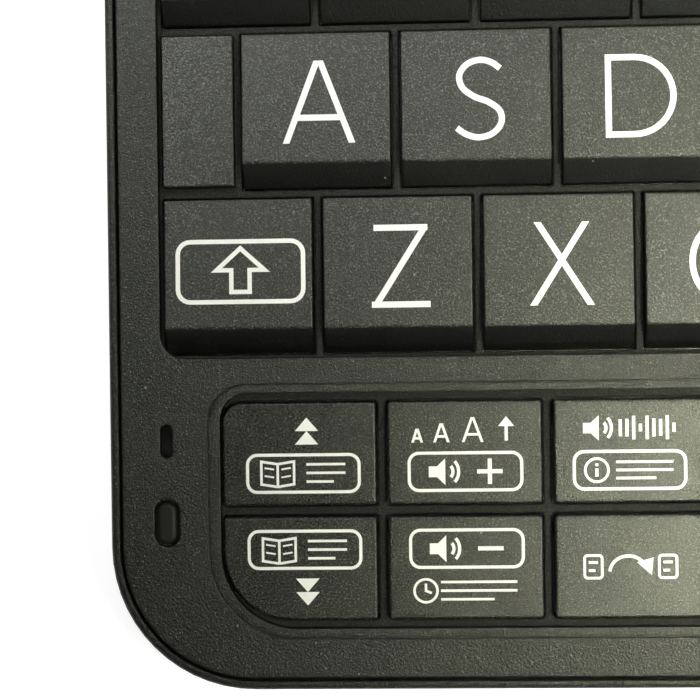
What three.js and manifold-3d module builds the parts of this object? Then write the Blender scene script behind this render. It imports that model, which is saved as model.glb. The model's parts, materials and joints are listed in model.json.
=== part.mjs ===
// Pocket electronic dictionary: a keyboard base with a battery barrel across its back, and a hinged display lid.
// Millimetres, +Z up, +X to the right of the keyboard, +Y towards the hinge. It stands open on its rubber feet.
import * as THREE from "three";
import { mergeVertices } from "three/addons/utils/BufferGeometryUtils.js";
import Module from "manifold-3d";

const wasm = await Module();
wasm.setup();

// Letter keys: ten columns and three rows, the middle row half a key to the right
const letterColumns = 10;
const letterRows = 3;
const letterPitch = 13.9;
const letterRowPitch = 14.35;
const letterGap = 0.9;
const letterRowGap = 0.85;
const letterWellClearance = 0.4;
const letterWellRadius = 2.2;
const letterMargin = 4.55;

// Function keys: nine columns and two rows in a bevelled well
const functionColumns = 9;
const functionMargin = 8.55;
const functionKeyDepth = 8.95;
const functionGap = 1.0;
const functionWellClearance = 0.7;
const functionSideClearance = 0.4;
const bevelWidth = 0.95;
const bevelDrop = 0.45;
const functionRearRadius = 2.4;
const functionFrontRadius = 6.6;

// Shortcut keys: one row of eight on a common comb
const shortcutCount = 8;
const shortcutDepth = 6.8;
const shortcutGap = 1.0;
const shortcutClearance = 0.4;
const shortcutWellRadius = 1.2;
const combSpineWidth = 1.0;
const combArmWidth = 1.6;
const combThickness = 0.5;

// Bands of plain panel, from the front edge to the barrel
const frontBand = 4.43;
const middleBand = 2.25;
const rearBand = 3.2;
const barrelBand = 4.0;

// Case walls and the stack inside the base, from the table up
const footHeight = 0.6;
const caseFloor = 1.3;
const underBoardSpace = 1.4;
const boardThickness = 1.0;
const matThickness = 0.5;
const domeSeat = 0.3;
const domeRadius = 2.6;
const domeTopRadius = 1.7;
const flangeThickness = 0.6;
const flangeOverhang = 0.3;
const gridThickness = 0.8;
const panelThickness = 1.2;
const lipWidth = 0.9;
const partingGap = 0.3;
const wallThickness = 2.0;
const cornerRadius = 12.5;
const rearCornerRadius = 1.6;
const restGap = 0.3;
const rimEase = 0.3;

// The lower case turns under in three steps, each an inset and a height above its floor
const underInset = 2.4;
const underStepInset = 0.9;
const underStepHeight = 0.9;
const underTurnHeight = 3.4;

// Key caps
const keyHoleClearance = 0.15;
const keyWall = 0.9;
const keyCrown = 1.0;
const keyChamfer = 0.22;
const keyRidgeRise = 0.1;
const keyRearDrop = 0.4;
const keyFrontFace = 2.2;
const keyFrontDrop = 1.3;
const keyTravel = 0.8;
const plungerRadius = 1.5;
const functionKeyDrop = 0.1;
const functionKeyChamfer = 0.3;
const functionKeyRadius = 0.5;

// Hinge barrel and cells
const cellRadius = 7.1;
const cellBodyLength = 49.0;
const cellNubRadius = 2.6;
const cellNubLength = 1.5;
const cellEdge = 0.7;
const cellClearance = 0.6;
const barrelWall = 1.5;
const barrelEndWall = 3.0;
const springLength = 6.0;
const springWire = 0.7;
const springRadius = 4.2;
const springTipRadius = 2.6;
const springTurns = 3.5;
const coverStartDegrees = -100;
const coverEndDegrees = 50;
const coverEndCollar = 3.6;
const coverRibHeight = 0.35;
const coverRibWidth = 0.8;
const coverRibLength = 14;
const hingePinRadius = 2.2;
const hingePinLength = 11;
const hingeRunningGap = 0.3;
const earGap = 0.4;
const sweepGap = 0.6;
const earEdge = 1.0;

// Lid
const lidGap = 0.5;
const lidThickness = 5.9;
const lidOpenDegrees = 115;
const lidPlate = 1.2;
const lidEdgeInset = 1.9;
const lidEdgeStepInset = 0.6;
const lidEdgeStepHeight = 0.8;
const lidEdgeHeight = 2.1;
const bezelThickness = 1.2;
const windowSideMargin = 15;
const windowFrontMargin = 8.2;
const windowRearMargin = 11.4;
const windowRadius = 1.0;
const windowBevel = 0.8;
const glassThickness = 0.8;
const glassOverlap = 3.6;
const moduleThickness = 1.8;
const moduleOverlap = 2.8;
const moduleTabWidth = 24;
const moduleTabDepth = 3.0;

// Small pieces on the panel and case
const sideLineInset = 4.95;
const bumperFromFront = 14.6;
const bumperWidth = 1.75;
const bumperLength = 3.7;
const bumperRise = 0.2;
const bumperPocketDepth = 0.8;
const bumperPocketClearance = 0.22;
const microphoneFromFront = 21.7;
const microphoneWidth = 1.05;
const microphoneLength = 2.9;
const speakerRadius = 5.0;
const speakerHeight = 3.4;
const speakerMagnetRadius = 3.2;
const speakerMagnetHeight = 1.2;
const speakerFromBarrel = 8.2;
const speakerInset = 11.2;
const grilleSlots = 5;
const grilleSlotWidth = 0.9;
const grilleSlotPitch = 1.9;
const grilleSlotLength = 6.4;
const footWidth = 4.2;
const footLength = 96;
const frontFootFromEdge = 7.0;
const rearFootFromEdge = 4.6;
const footPocketDepth = 0.4;
const footClearance = 0.3;
const postRadius = 1.8;
const screwHeadRadius = 1.6;
const screwHeadDepth = 0.8;
const screwHoleRadius = 0.9;
const frontPostInset = 5.6;
const frontPostFromFront = 10.5;
const rearPostInset = 4.3;
const rearPostFromEdge = 4.3;
const boardPadRadius = 1.6;

// Sockets in the side walls
const jackHoleRadius = 1.8;
const jackBodyWidth = 5.6;
const jackBodyLength = 11;
const jackBodyHeight = 4.6;
const jackFromBarrel = 11.0;
const socketWidth = 7.6;
const socketHeight = 2.6;
const socketDepth = 5.2;
const socketWall = 0.4;
const socketFromFront = 19.0;
const socketClearance = 0.3;

// Drawing quality
const cornerSteps = 6;
const smallCornerSteps = 2;
const roundSegments = 16;
const smallRoundSegments = 8;
const domeSegments = 6;
const barrelSegments = 24;
const arcStepDegrees = 15;
const cutOverrun = 2;
const weldDistance = 1e-4;
const leastRadius = 0.02;

const sharp = [0, 0, 0, 0];

// Sizes worked out from those above
const halfShare = 0.5;
const bodyWidth =
  letterColumns * letterPitch - letterGap + 2 * (letterWellClearance + letterMargin);
const bodyHalf = bodyWidth / 2;
const letterHalf = (letterColumns * letterPitch - letterGap) / 2;
const letterKeyWidth = letterPitch - letterGap;
const letterKeyDepth = letterRowPitch - letterRowGap;
const functionHalf = bodyHalf - functionMargin - bevelWidth - functionSideClearance;
const functionPitch = (2 * functionHalf + functionGap) / functionColumns;

const floorTop = footHeight + caseFloor;
const boardUnder = floorTop + underBoardSpace;
const boardTop = boardUnder + boardThickness;
const matUnder = boardTop + restGap;
const matTop = matUnder + matThickness;
const domeTop = matTop + domeSeat + keyTravel;
const flangeUnder = domeTop + restGap;
const flangeTop = flangeUnder + flangeThickness;
const gridUnder = flangeTop + restGap;
const gridTop = gridUnder + gridThickness;
const panelTop = gridTop + panelThickness;
const ledgeTop = gridTop - restGap;

const barrelInner = cellRadius + cellClearance;
const barrelRadius = barrelInner + barrelWall;
const axisHeight = footHeight + barrelRadius;
const cellLength = cellBodyLength + cellNubLength;
const barrelHalf = (2 * cellLength + springLength + 4 * restGap) / 2 + barrelEndWall;
const earInner = barrelHalf + earGap;
const earLength = bodyHalf - earInner;
const coverHalf = barrelHalf - coverEndCollar;

const functionBlockDepth = 2 * functionKeyDepth + functionGap + 2 * functionWellClearance;
const letterBlockDepth =
  letterRows * letterRowPitch - letterRowGap + 2 * letterWellClearance;
const shortcutBlockDepth = shortcutDepth + 2 * shortcutClearance;
const bodyDepth =
  frontBand + 2 * bevelWidth + functionBlockDepth + middleBand + letterBlockDepth +
  rearBand + shortcutBlockDepth + barrelBand + 2 * barrelRadius;

// Places along Y, from the hinge axis at Y 0 forward
const frontEdge = -(bodyDepth - barrelRadius);
const rearEdge = -(barrelRadius + sweepGap);
const functionWellFront = frontEdge + frontBand + bevelWidth;
const functionWellRear = functionWellFront + functionBlockDepth;
const letterWellFront = functionWellRear + bevelWidth + middleBand;
const letterWellRear = letterWellFront + letterBlockDepth;
const shortcutWellFront = letterWellRear + rearBand;
const shortcutWellRear = shortcutWellFront + shortcutBlockDepth;

const degrees = THREE.MathUtils.degToRad;
const panelArcEnd =
  180 + THREE.MathUtils.radToDeg(Math.asin((axisHeight - gridTop) / barrelRadius));
const arcGapDegrees = THREE.MathUtils.radToDeg(restGap / barrelInner);

// Finishes, from the photograph
const panelPlastic = new THREE.MeshStandardMaterial({ color: 0x2c2d2c, roughness: 0.6 });
const keyPlastic = new THREE.MeshStandardMaterial({ color: 0x353634, roughness: 0.55 });
const casePlastic = new THREE.MeshStandardMaterial({ color: 0x262827, roughness: 0.55 });
const rubber = new THREE.MeshStandardMaterial({ color: 0x161717, roughness: 0.9 });
const silicone = new THREE.MeshStandardMaterial({ color: 0x8f9294, roughness: 0.85 });
const boardGreen = new THREE.MeshStandardMaterial({ color: 0x1f5b36, roughness: 0.5 });
const steel = new THREE.MeshStandardMaterial({ color: 0xb8bbbd, roughness: 0.3, metalness: 1 });
const cellJacket = new THREE.MeshStandardMaterial({ color: 0xd9dcdd, roughness: 0.35 });
const screenGlass = new THREE.MeshStandardMaterial({ color: 0x0a0c0e, roughness: 0.08 });
const moduleMetal = new THREE.MeshStandardMaterial({
  color: 0x9a9fa3, roughness: 0.4, metalness: 0.9,
});

const root = new THREE.Group();
const base = new THREE.Group();
const lid = new THREE.Group();
root.add(base, lid);

// Solids

// The closed solid of a geometry, for joining and cutting.
function solidOf(geometry) {
  const bare = geometry.index ? geometry.toNonIndexed() : geometry.clone();
  bare.deleteAttribute("normal");
  bare.deleteAttribute("uv");
  const merged = mergeVertices(bare, weldDistance);
  return new wasm.Manifold(
    new wasm.Mesh({
      numProp: 3,
      vertProperties: merged.attributes.position.array,
      triVerts: merged.index.array,
    }),
  );
}

function join(...solids) {
  return solids.reduce((whole, piece) => whole.add(piece));
}

function cut(whole, ...tools) {
  return tools.reduce((left, tool) => left.subtract(tool), whole);
}

// Adds a named mesh of a solid to a group.
function place(group, name, solid, material) {
  const made = solid.getMesh();
  const geometry = new THREE.BufferGeometry();
  geometry.setAttribute("position", new THREE.BufferAttribute(made.vertProperties, 3));
  geometry.setIndex(new THREE.BufferAttribute(made.triVerts, 1));
  geometry.computeVertexNormals();
  const mesh = new THREE.Mesh(geometry, material);
  mesh.name = name;
  group.add(mesh);
  return mesh;
}

// A convex solid through a stack of rings with equal counts, each counter-clockwise seen from the last ring's side.
function loft(rings) {
  const count = rings[0].length;
  const positions = rings.flat().flatMap((point) => [point.x, point.y, point.z]);
  const faces = [];
  for (let level = 0; level < rings.length - 1; level++) {
    for (let i = 0; i < count; i++) {
      const low = level * count + i;
      const lowNext = level * count + ((i + 1) % count);
      faces.push(low, lowNext, lowNext + count, low, lowNext + count, low + count);
    }
  }
  const last = (rings.length - 1) * count;
  for (let i = 1; i < count - 1; i++) {
    faces.push(0, i + 1, i, last, last + i, last + i + 1);
  }
  const geometry = new THREE.BufferGeometry();
  geometry.setAttribute("position", new THREE.Float32BufferAttribute(positions, 3));
  geometry.setIndex(faces);
  return solidOf(geometry);
}

// A rectangle with round corners, counter-clockwise: front left, front right, rear right, rear left.
// A corner whose radius is 0 stays sharp and has one point.
function outline(box, radii, inset = 0, steps = smallCornerSteps) {
  const [left, right, front, rear] = box;
  const most = Math.min(right - left, rear - front) * halfShare - inset;
  const corners = radii.map((radius) =>
    radius ? THREE.MathUtils.clamp(radius - inset, leastRadius, most) : 0,
  );
  const centres = [
    [left + inset + corners[0], front + inset + corners[0], 180],
    [right - inset - corners[1], front + inset + corners[1], 270],
    [right - inset - corners[2], rear - inset - corners[2], 0],
    [left + inset + corners[3], rear - inset - corners[3], 90],
  ];
  return centres.flatMap(([x, y, start], corner) => {
    if (!corners[corner]) {
      return [new THREE.Vector2(x, y)];
    }
    const arc = new THREE.EllipseCurve(
      x, y, corners[corner], corners[corner], degrees(start), degrees(start + 90),
    );
    return arc.getPoints(steps);
  });
}

function ringAt(points, z) {
  return points.map((point) => new THREE.Vector3(point.x, point.y, z));
}

// A straight extrusion of an outline between two heights.
function prism(points, low, high) {
  const geometry = new THREE.ExtrudeGeometry(new THREE.Shape(points), {
    depth: high - low,
    bevelEnabled: false,
  });
  return solidOf(geometry.translate(0, 0, low));
}

function block(left, right, front, rear, low, high) {
  const geometry = new THREE.BoxGeometry(right - left, rear - front, high - low);
  return solidOf(
    geometry.translate((left + right) / 2, (front + rear) / 2, (low + high) / 2),
  );
}

// A profile in Y and Z, extruded along X.
const acrossBody = new THREE.Matrix4().makeBasis(
  new THREE.Vector3(0, 1, 0), new THREE.Vector3(0, 0, 1), new THREE.Vector3(1, 0, 0),
);

function alongX(shape, left, right) {
  const geometry = new THREE.ExtrudeGeometry(shape, {
    depth: right - left,
    bevelEnabled: false,
  });
  return solidOf(geometry.translate(0, 0, left).applyMatrix4(acrossBody));
}

// A sector of a tube about the hinge axis. Degrees run from the rear (0) over the top (90) to the front (180).
function barrelSector(inner, outer, start, end, left, right) {
  const steps = Math.ceil(Math.abs(end - start) / arcStepDegrees);
  const arc = (radius, from, to) =>
    new THREE.EllipseCurve(
      0, axisHeight, radius, radius, degrees(from), degrees(to), to < from,
    ).getPoints(steps);
  return alongX(new THREE.Shape([...arc(outer, start, end), ...arc(inner, end, start)]), left, right);
}

function discAlongX(radius, left, right, centreZ, segments = barrelSegments) {
  const geometry = new THREE.CylinderGeometry(radius, radius, right - left, segments);
  geometry.rotateZ(-Math.PI / 2);
  return solidOf(geometry.translate((left + right) / 2, 0, centreZ));
}

function discAlongZ(radius, x, y, low, high, segments = smallRoundSegments, topRadius = radius) {
  const geometry = new THREE.CylinderGeometry(topRadius, radius, high - low, segments);
  geometry.rotateX(Math.PI / 2);
  return solidOf(geometry.translate(x, y, (low + high) / 2));
}

// A slot with round ends, standing along Y.
function slot(x, y, width, length, low, high) {
  const box = [x - width / 2, x + width / 2, y - length / 2, y + length / 2];
  return prism(outline(box, [width, width, width, width], 0, smallCornerSteps * 2), low, high);
}

// Key places

const letterRowNames = [
  ["shift", "z", "x", "c", "v", "b", "n", "m"],
  ["a", "s", "d", "f", "g", "h", "j", "k", "l"],
  ["q", "w", "e", "r", "t", "y", "u", "i", "o", "p"],
];
const rowOffsetShares = [0, halfShare, 0];

function letterRowFront(row) {
  return letterWellFront + letterWellClearance + row * letterRowPitch;
}

function letterKeyBoxes() {
  const boxes = letterRowNames.flatMap((names, row) =>
    names.map((name, column) => {
      const left = -letterHalf + (column + rowOffsetShares[row]) * letterPitch;
      const front = letterRowFront(row);
      return { name: `key_${name}`, box: [left, left + letterKeyWidth, front, front + letterKeyDepth] };
    }),
  );
  const deleteLeft = -letterHalf + letterRowNames[0].length * letterPitch;
  const front = letterRowFront(0);
  boxes.push({ name: "key_delete", box: [deleteLeft, letterHalf, front, front + letterKeyDepth] });
  return boxes;
}

// column, row, columns wide, rows deep
const functionKeyCells = {
  key_next_entry: [0, 0, 1, 1],
  key_previous_entry: [0, 1, 1, 1],
  key_volume_down: [1, 0, 1, 1],
  key_volume_up: [1, 1, 1, 1],
  key_jump: [2, 0, 1, 1],
  key_speech: [2, 1, 1, 1],
  key_back: [3, 0, 1, 2],
  key_left: [4, 0, 1, 2],
  key_down: [5, 0, 1, 1],
  key_up: [5, 1, 1, 1],
  key_right: [6, 0, 1, 2],
  key_enter: [7, 0, 2, 2],
};

function functionKeyBoxes() {
  const rowPitch = functionKeyDepth + functionGap;
  const cornerFor = (atFront) =>
    (atFront ? functionFrontRadius : functionRearRadius) - functionWellClearance;
  return Object.entries(functionKeyCells).map(([name, [column, row, wide, deep]]) => {
    const left = -functionHalf + column * functionPitch;
    const front = functionWellFront + functionWellClearance + row * rowPitch;
    const box = [
      left, left + wide * functionPitch - functionGap, front, front + deep * rowPitch - functionGap,
    ];
    const atFront = row === 0;
    const atRear = row + deep === 2;
    const atLeft = column === 0;
    const atRight = column + wide === functionColumns;
    const radii = [
      atFront && atLeft ? cornerFor(true) : 0,
      atFront && atRight ? cornerFor(true) : 0,
      atRear && atRight ? cornerFor(false) : 0,
      atRear && atLeft ? cornerFor(false) : 0,
    ];
    return { name, box, radii };
  });
}

function shortcutKeyBoxes() {
  const first = -letterHalf + letterPitch;
  const front = shortcutWellFront + shortcutClearance;
  return Array.from({ length: shortcutCount }, (_, i) => {
    const left = first + i * letterPitch;
    return [left, left + letterPitch - shortcutGap, front, front + shortcutDepth];
  });
}

// The two plain blocks that fill the half columns beside the middle row.
function fillerBoxes() {
  const front = letterRowFront(1);
  const width = letterPitch * halfShare - letterGap;
  return [
    [-letterHalf, -letterHalf + width, front, front + letterKeyDepth],
    [letterHalf - width, letterHalf, front, front + letterKeyDepth],
  ];
}

const letterKeys = letterKeyBoxes();
const functionKeys = functionKeyBoxes();
const shortcutKeys = shortcutKeyBoxes();

function centreOf([left, right, front, rear]) {
  return [(left + right) / 2, (front + rear) / 2];
}

function grown([left, right, front, rear], by) {
  return [left - by, right + by, front - by, rear + by];
}

// Keys

// The retaining flange, hollow and plunger that every cap has under its crown.
function finishCap(cap, box, radii, crownUnder) {
  const steps = cornerSteps * halfShare;
  const flange = prism(outline(grown(box, flangeOverhang), radii, 0, steps), flangeUnder, flangeTop);
  const hollow = prism(
    outline(box, radii, keyWall, steps), flangeUnder - cutOverrun, crownUnder,
  );
  const [x, y] = centreOf(box);
  const plunger = discAlongZ(plungerRadius, x, y, flangeUnder, crownUnder + keyCrown * halfShare);
  return join(cut(join(cap, flange), hollow), plunger);
}

// A letter key is a wedge: the top rises to a ridge near the front, then falls steeply to the front edge.
function letterKey({ name, box }) {
  const [left, right, front, rear] = box;
  const ridge = panelTop + keyRidgeRise;
  const section = (x, lowered) =>
    [
      [front, flangeUnder + flangeThickness * halfShare],
      [rear, flangeUnder + flangeThickness * halfShare],
      [rear, panelTop - keyRearDrop - lowered],
      [front + keyFrontFace, ridge - lowered],
      [front, panelTop - keyFrontDrop - lowered],
    ].map(([y, z]) => new THREE.Vector3(x, y, z));
  const cap = loft([
    section(left, keyChamfer),
    section(left + keyChamfer, 0),
    section(right - keyChamfer, 0),
    section(right, keyChamfer),
  ]);
  const crownUnder = panelTop - keyFrontDrop - keyCrown * halfShare;
  place(base, name, finishCap(cap, box, sharp, crownUnder), keyPlastic);
}

// A function key is flat, with an eased edge and the well's own corner where it meets one.
function functionKey({ name, box, radii }) {
  const top = panelTop - functionKeyDrop;
  const eased = radii.map((radius) => Math.max(radius, functionKeyRadius));
  const steps = Math.max(...radii) > 0 ? cornerSteps * halfShare : smallCornerSteps;
  const at = (z, inset) => ringAt(outline(box, eased, inset, steps), z);
  const cap = loft([
    at(flangeUnder + flangeThickness * halfShare, 0),
    at(top - functionKeyChamfer, 0),
    at(top - functionKeyChamfer / 3, functionKeyChamfer / 3),
    at(top, functionKeyChamfer),
  ]);
  place(base, name, finishCap(cap, box, radii, top - keyCrown), keyPlastic);
}

// The shortcut keys are one moulding: flat caps on thin arms from a common spine behind them.
function shortcutComb() {
  const top = panelTop - functionKeyDrop;
  const radii = Array(4).fill(functionKeyRadius);
  const armFront = shortcutWellRear - shortcutClearance - combSpineWidth;
  const spineFront = shortcutWellRear;
  const spineLeft = shortcutKeys[0][0];
  const spineRight = shortcutKeys[shortcutCount - 1][1];
  const low = gridUnder - restGap - combThickness;
  const high = low + combThickness;
  const pieces = shortcutKeys.flatMap((box) => {
    const [x] = centreOf(box);
    const at = (z, inset) => ringAt(outline(box, radii, inset, 1), z);
    return [
      loft([at(low, 0), at(top - functionKeyChamfer, 0), at(top, functionKeyChamfer)]),
      block(x - combArmWidth / 2, x + combArmWidth / 2, armFront, spineFront + combSpineWidth / 2, low, high),
    ];
  });
  const spine = block(spineLeft, spineRight, spineFront, spineFront + combSpineWidth, low, high);
  place(base, "shortcut_keys", join(spine, ...pieces), keyPlastic);
}

// Base

const caseBox = [-bodyHalf, bodyHalf, frontEdge, rearEdge];
const caseRadii = [cornerRadius, cornerRadius, rearCornerRadius, rearCornerRadius];

function caseOutline(inset) {
  return outline(caseBox, caseRadii, inset, cornerSteps);
}

const postPlaces = [
  [bodyHalf - frontPostInset, frontEdge + frontPostFromFront],
  [-bodyHalf + frontPostInset, frontEdge + frontPostFromFront],
  [bodyHalf - rearPostInset, rearEdge - rearPostFromEdge],
  [-bodyHalf + rearPostInset, rearEdge - rearPostFromEdge],
];
const postSplit = boardTop + restGap;
const speakerPlace = [bodyHalf - speakerInset, -barrelRadius - speakerFromBarrel];
const jackY = -barrelRadius - jackFromBarrel;
const jackZ = floorTop + restGap + jackBodyHeight / 2;
const socketY = frontEdge + socketFromFront;
const feet = {
  rubber_foot_front: frontEdge + frontFootFromEdge,
  rubber_foot_rear: rearEdge - rearFootFromEdge,
};

function footBox(centreY, inset = 0) {
  return [
    -footLength / 2 + inset, footLength / 2 - inset,
    centreY - footWidth / 2 + inset, centreY + footWidth / 2 - inset,
  ];
}

// The tray with its lip and ledge, and the front half of the battery bay.
function lowerCase() {
  const shell = loft([
    ringAt(caseOutline(underInset), footHeight),
    ringAt(caseOutline(underStepInset), footHeight + underStepHeight),
    ringAt(caseOutline(0), footHeight + underTurnHeight),
    ringAt(caseOutline(0), panelTop - rimEase),
    ringAt(caseOutline(rimEase), panelTop),
  ]);
  const hollow = prism(caseOutline(wallThickness), floorTop, panelTop + cutOverrun);
  const lipRecess = prism(caseOutline(lipWidth), ledgeTop, panelTop + cutOverrun);
  const bayFront = rearEdge - wallThickness;
  const bay = block(-barrelHalf, barrelHalf, bayFront, 0, footHeight, ledgeTop);
  const aboveBay = block(
    -barrelHalf - restGap, barrelHalf + restGap, bayFront - restGap, cutOverrun,
    ledgeTop, panelTop + cutOverrun,
  );
  let body = cut(join(cut(shell, hollow, lipRecess), bay), aboveBay);
  const collarStart = panelArcEnd + arcGapDegrees;
  const collarEnd = 360 + coverEndDegrees - arcGapDegrees;
  for (const side of [-1, 1]) {
    const outer = side * barrelHalf;
    const wallInner = side * (barrelHalf - barrelEndWall);
    const collarInner = side * (coverHalf + restGap);
    const [left, right] = [Math.min(outer, collarInner), Math.max(outer, collarInner)];
    const [wallLeft, wallRight] = [Math.min(outer, wallInner), Math.max(outer, wallInner)];
    body = join(
      body,
      barrelSector(barrelInner, barrelRadius, collarStart, collarEnd, left, right),
      barrelSector(barrelInner * halfShare, barrelRadius, collarStart, collarEnd, wallLeft, wallRight),
      discAlongX(barrelInner - restGap, wallLeft, wallRight, axisHeight),
    );
  }
  const bore = discAlongX(
    barrelInner, -barrelHalf + barrelEndWall, barrelHalf - barrelEndWall, axisHeight,
  );
  const coverWay = barrelSector(
    barrelInner * halfShare, barrelRadius + cutOverrun,
    coverStartDegrees - arcGapDegrees, coverEndDegrees,
    -coverHalf - restGap, coverHalf + restGap,
  );
  const pinHole = discAlongX(
    hingePinRadius + hingeRunningGap, -barrelHalf - cutOverrun, barrelHalf + cutOverrun,
    axisHeight, roundSegments,
  );
  const posts = postPlaces.map(([x, y]) =>
    discAlongZ(postRadius, x, y, floorTop - caseFloor * halfShare, postSplit - restGap),
  );
  const boardPads = [-1, 0, 1].flatMap((column) =>
    [functionWellRear, letterWellRear].map((y) =>
      discAlongZ(
        boardPadRadius, column * letterHalf * halfShare, y,
        floorTop - caseFloor * halfShare, boardUnder - restGap,
      ),
    ),
  );
  const screwWays = postPlaces.flatMap(([x, y]) => [
    discAlongZ(screwHeadRadius, x, y, -cutOverrun, footHeight + screwHeadDepth),
    discAlongZ(screwHoleRadius, x, y, -cutOverrun, postSplit + cutOverrun),
  ]);
  const footPockets = Object.values(feet).map((y) =>
    prism(
      outline(footBox(y, -footClearance), Array(4).fill(footWidth)),
      -cutOverrun, footHeight + footPocketDepth,
    ),
  );
  const jackHole = discAlongX(
    jackHoleRadius, -bodyHalf - cutOverrun, -bodyHalf + wallThickness + cutOverrun,
    jackZ, roundSegments,
  ).translate(0, jackY, 0);
  const socketHole = block(
    bodyHalf - wallThickness - cutOverrun, bodyHalf + cutOverrun,
    socketY - socketWidth / 2 - socketClearance, socketY + socketWidth / 2 + socketClearance,
    boardTop - socketClearance, boardTop + socketHeight + socketClearance,
  );
  body = cut(
    join(body, ...posts, ...boardPads),
    bore, coverWay, pinHole, ...screwWays, ...footPockets, jackHole, socketHole,
  );
  place(base, "base_lower_case", body, casePlastic);
}

// The keyboard panel: a plate with three wells over a grid that guides the keys, and the top of the barrel.
function topPanel() {
  const plate = prism(caseOutline(lipWidth + partingGap), gridTop, panelTop);
  const tongue = block(
    -barrelHalf, barrelHalf, rearEdge - wallThickness, -barrelInner, gridTop, panelTop,
  );
  const arch = barrelSector(
    barrelInner, barrelRadius, coverEndDegrees, panelArcEnd, -barrelHalf, barrelHalf,
  );
  const gridEdge = panelThickness;
  const grids = [
    [-functionHalf - functionSideClearance, functionHalf + functionSideClearance,
      functionWellFront, functionWellRear],
    [-letterHalf - letterWellClearance, letterHalf + letterWellClearance,
      functionWellRear, letterWellRear],
    [shortcutKeys[0][0] - shortcutClearance, shortcutKeys[shortcutCount - 1][1] + shortcutClearance,
      letterWellRear, shortcutWellRear],
  ].map((box) => {
    const [left, right, front, rear] = grown(box, gridEdge);
    return block(left, right, front, rear, gridUnder, gridTop + panelThickness * halfShare);
  });
  const wells = [functionWell(), letterWell(), shortcutWell()];
  const guided = [...letterKeys, ...functionKeys, ...shortcutKeys.map((box) => ({ box }))];
  const keyHoles = guided.map(({ box, radii = sharp }) =>
    prism(
      outline(grown(box, keyHoleClearance), radii, 0, cornerSteps * halfShare),
      gridUnder - cutOverrun, gridTop + cutOverrun,
    ),
  );
  const fillers = fillerBoxes().map((box) => {
    const at = (z, inset) => ringAt(outline(box, sharp, inset), z);
    return loft([
      at(gridTop - gridThickness * halfShare, 0),
      at(panelTop - keyRearDrop * halfShare - keyChamfer, 0),
      at(panelTop - keyRearDrop * halfShare, keyChamfer),
    ]);
  });
  const posts = postPlaces.map(([x, y]) =>
    discAlongZ(postRadius, x, y, postSplit, gridTop + panelThickness * halfShare),
  );
  const screwHoles = postPlaces.map(([x, y]) =>
    discAlongZ(screwHoleRadius, x, y, postSplit - cutOverrun, gridTop - gridThickness * halfShare),
  );
  const pockets = [-1, 1].map((side) =>
    slot(
      side * (bodyHalf - sideLineInset), frontEdge + bumperFromFront,
      bumperWidth + 2 * bumperPocketClearance, bumperLength + 2 * bumperPocketClearance,
      panelTop - bumperPocketDepth, panelTop + cutOverrun,
    ),
  );
  const microphoneSlot = slot(
    -bodyHalf + sideLineInset, frontEdge + microphoneFromFront, microphoneWidth,
    microphoneLength, gridUnder - cutOverrun, panelTop + cutOverrun,
  );
  const grille = Array.from({ length: grilleSlots }, (_, i) =>
    slot(
      speakerPlace[0] + (i - (grilleSlots - 1) / 2) * grilleSlotPitch, speakerPlace[1],
      grilleSlotWidth, grilleSlotLength, gridUnder - cutOverrun, panelTop + cutOverrun,
    ),
  );
  const barrelBore = discAlongX(
    barrelInner, -barrelHalf - cutOverrun, barrelHalf + cutOverrun, axisHeight,
  );
  const bored = cut(join(plate, tongue, arch, ...grids, ...posts), barrelBore, ...wells);
  const panel = join(cut(bored, ...keyHoles), ...fillers);
  place(
    base, "base_top_panel",
    cut(panel, ...pockets, microphoneSlot, ...grille, ...screwHoles), panelPlastic,
  );
}

// The function well has a bevel all round its mouth, with tight corners behind and wide ones in front.
function functionWell() {
  const mouth = [
    -functionHalf - functionSideClearance - bevelWidth,
    functionHalf + functionSideClearance + bevelWidth,
    functionWellFront - bevelWidth, functionWellRear + bevelWidth,
  ];
  const radii = [functionFrontRadius, functionFrontRadius, functionRearRadius, functionRearRadius]
    .map((radius) => radius + bevelWidth);
  const at = (z, inset) => ringAt(outline(mouth, radii, inset, cornerSteps), z);
  return loft([
    at(gridTop, bevelWidth),
    at(panelTop - bevelDrop, bevelWidth),
    at(panelTop, 0),
    at(panelTop + cutOverrun, 0),
  ]);
}

function letterWell() {
  const box = [
    -letterHalf - letterWellClearance, letterHalf + letterWellClearance,
    letterWellFront, letterWellRear,
  ];
  return prism(
    outline(box, Array(4).fill(letterWellRadius), 0, cornerSteps * halfShare),
    gridTop, panelTop + cutOverrun,
  );
}

function shortcutWell() {
  const box = [
    shortcutKeys[0][0] - shortcutClearance,
    shortcutKeys[shortcutCount - 1][1] + shortcutClearance,
    shortcutWellFront, shortcutWellRear,
  ];
  return prism(
    outline(box, Array(4).fill(shortcutWellRadius), 0, smallCornerSteps),
    gridTop, panelTop + cutOverrun,
  );
}

// The silicone mat with a dome under every key.
function keyMat() {
  const sheets = [
    [-functionHalf, functionHalf, functionWellFront + functionWellClearance, functionWellRear],
    [-letterHalf, letterHalf, functionWellRear - functionWellClearance, letterWellRear],
  ].map((box) => block(...box, matUnder, matTop));
  const domes = [...letterKeys, ...functionKeys].map(({ box }) => {
    const [x, y] = centreOf(box);
    return discAlongZ(
      domeRadius, x, y, matUnder + matThickness * halfShare, domeTop, domeSegments, domeTopRadius,
    );
  });
  place(base, "key_mat", join(...sheets, ...domes), silicone);
}

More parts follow.
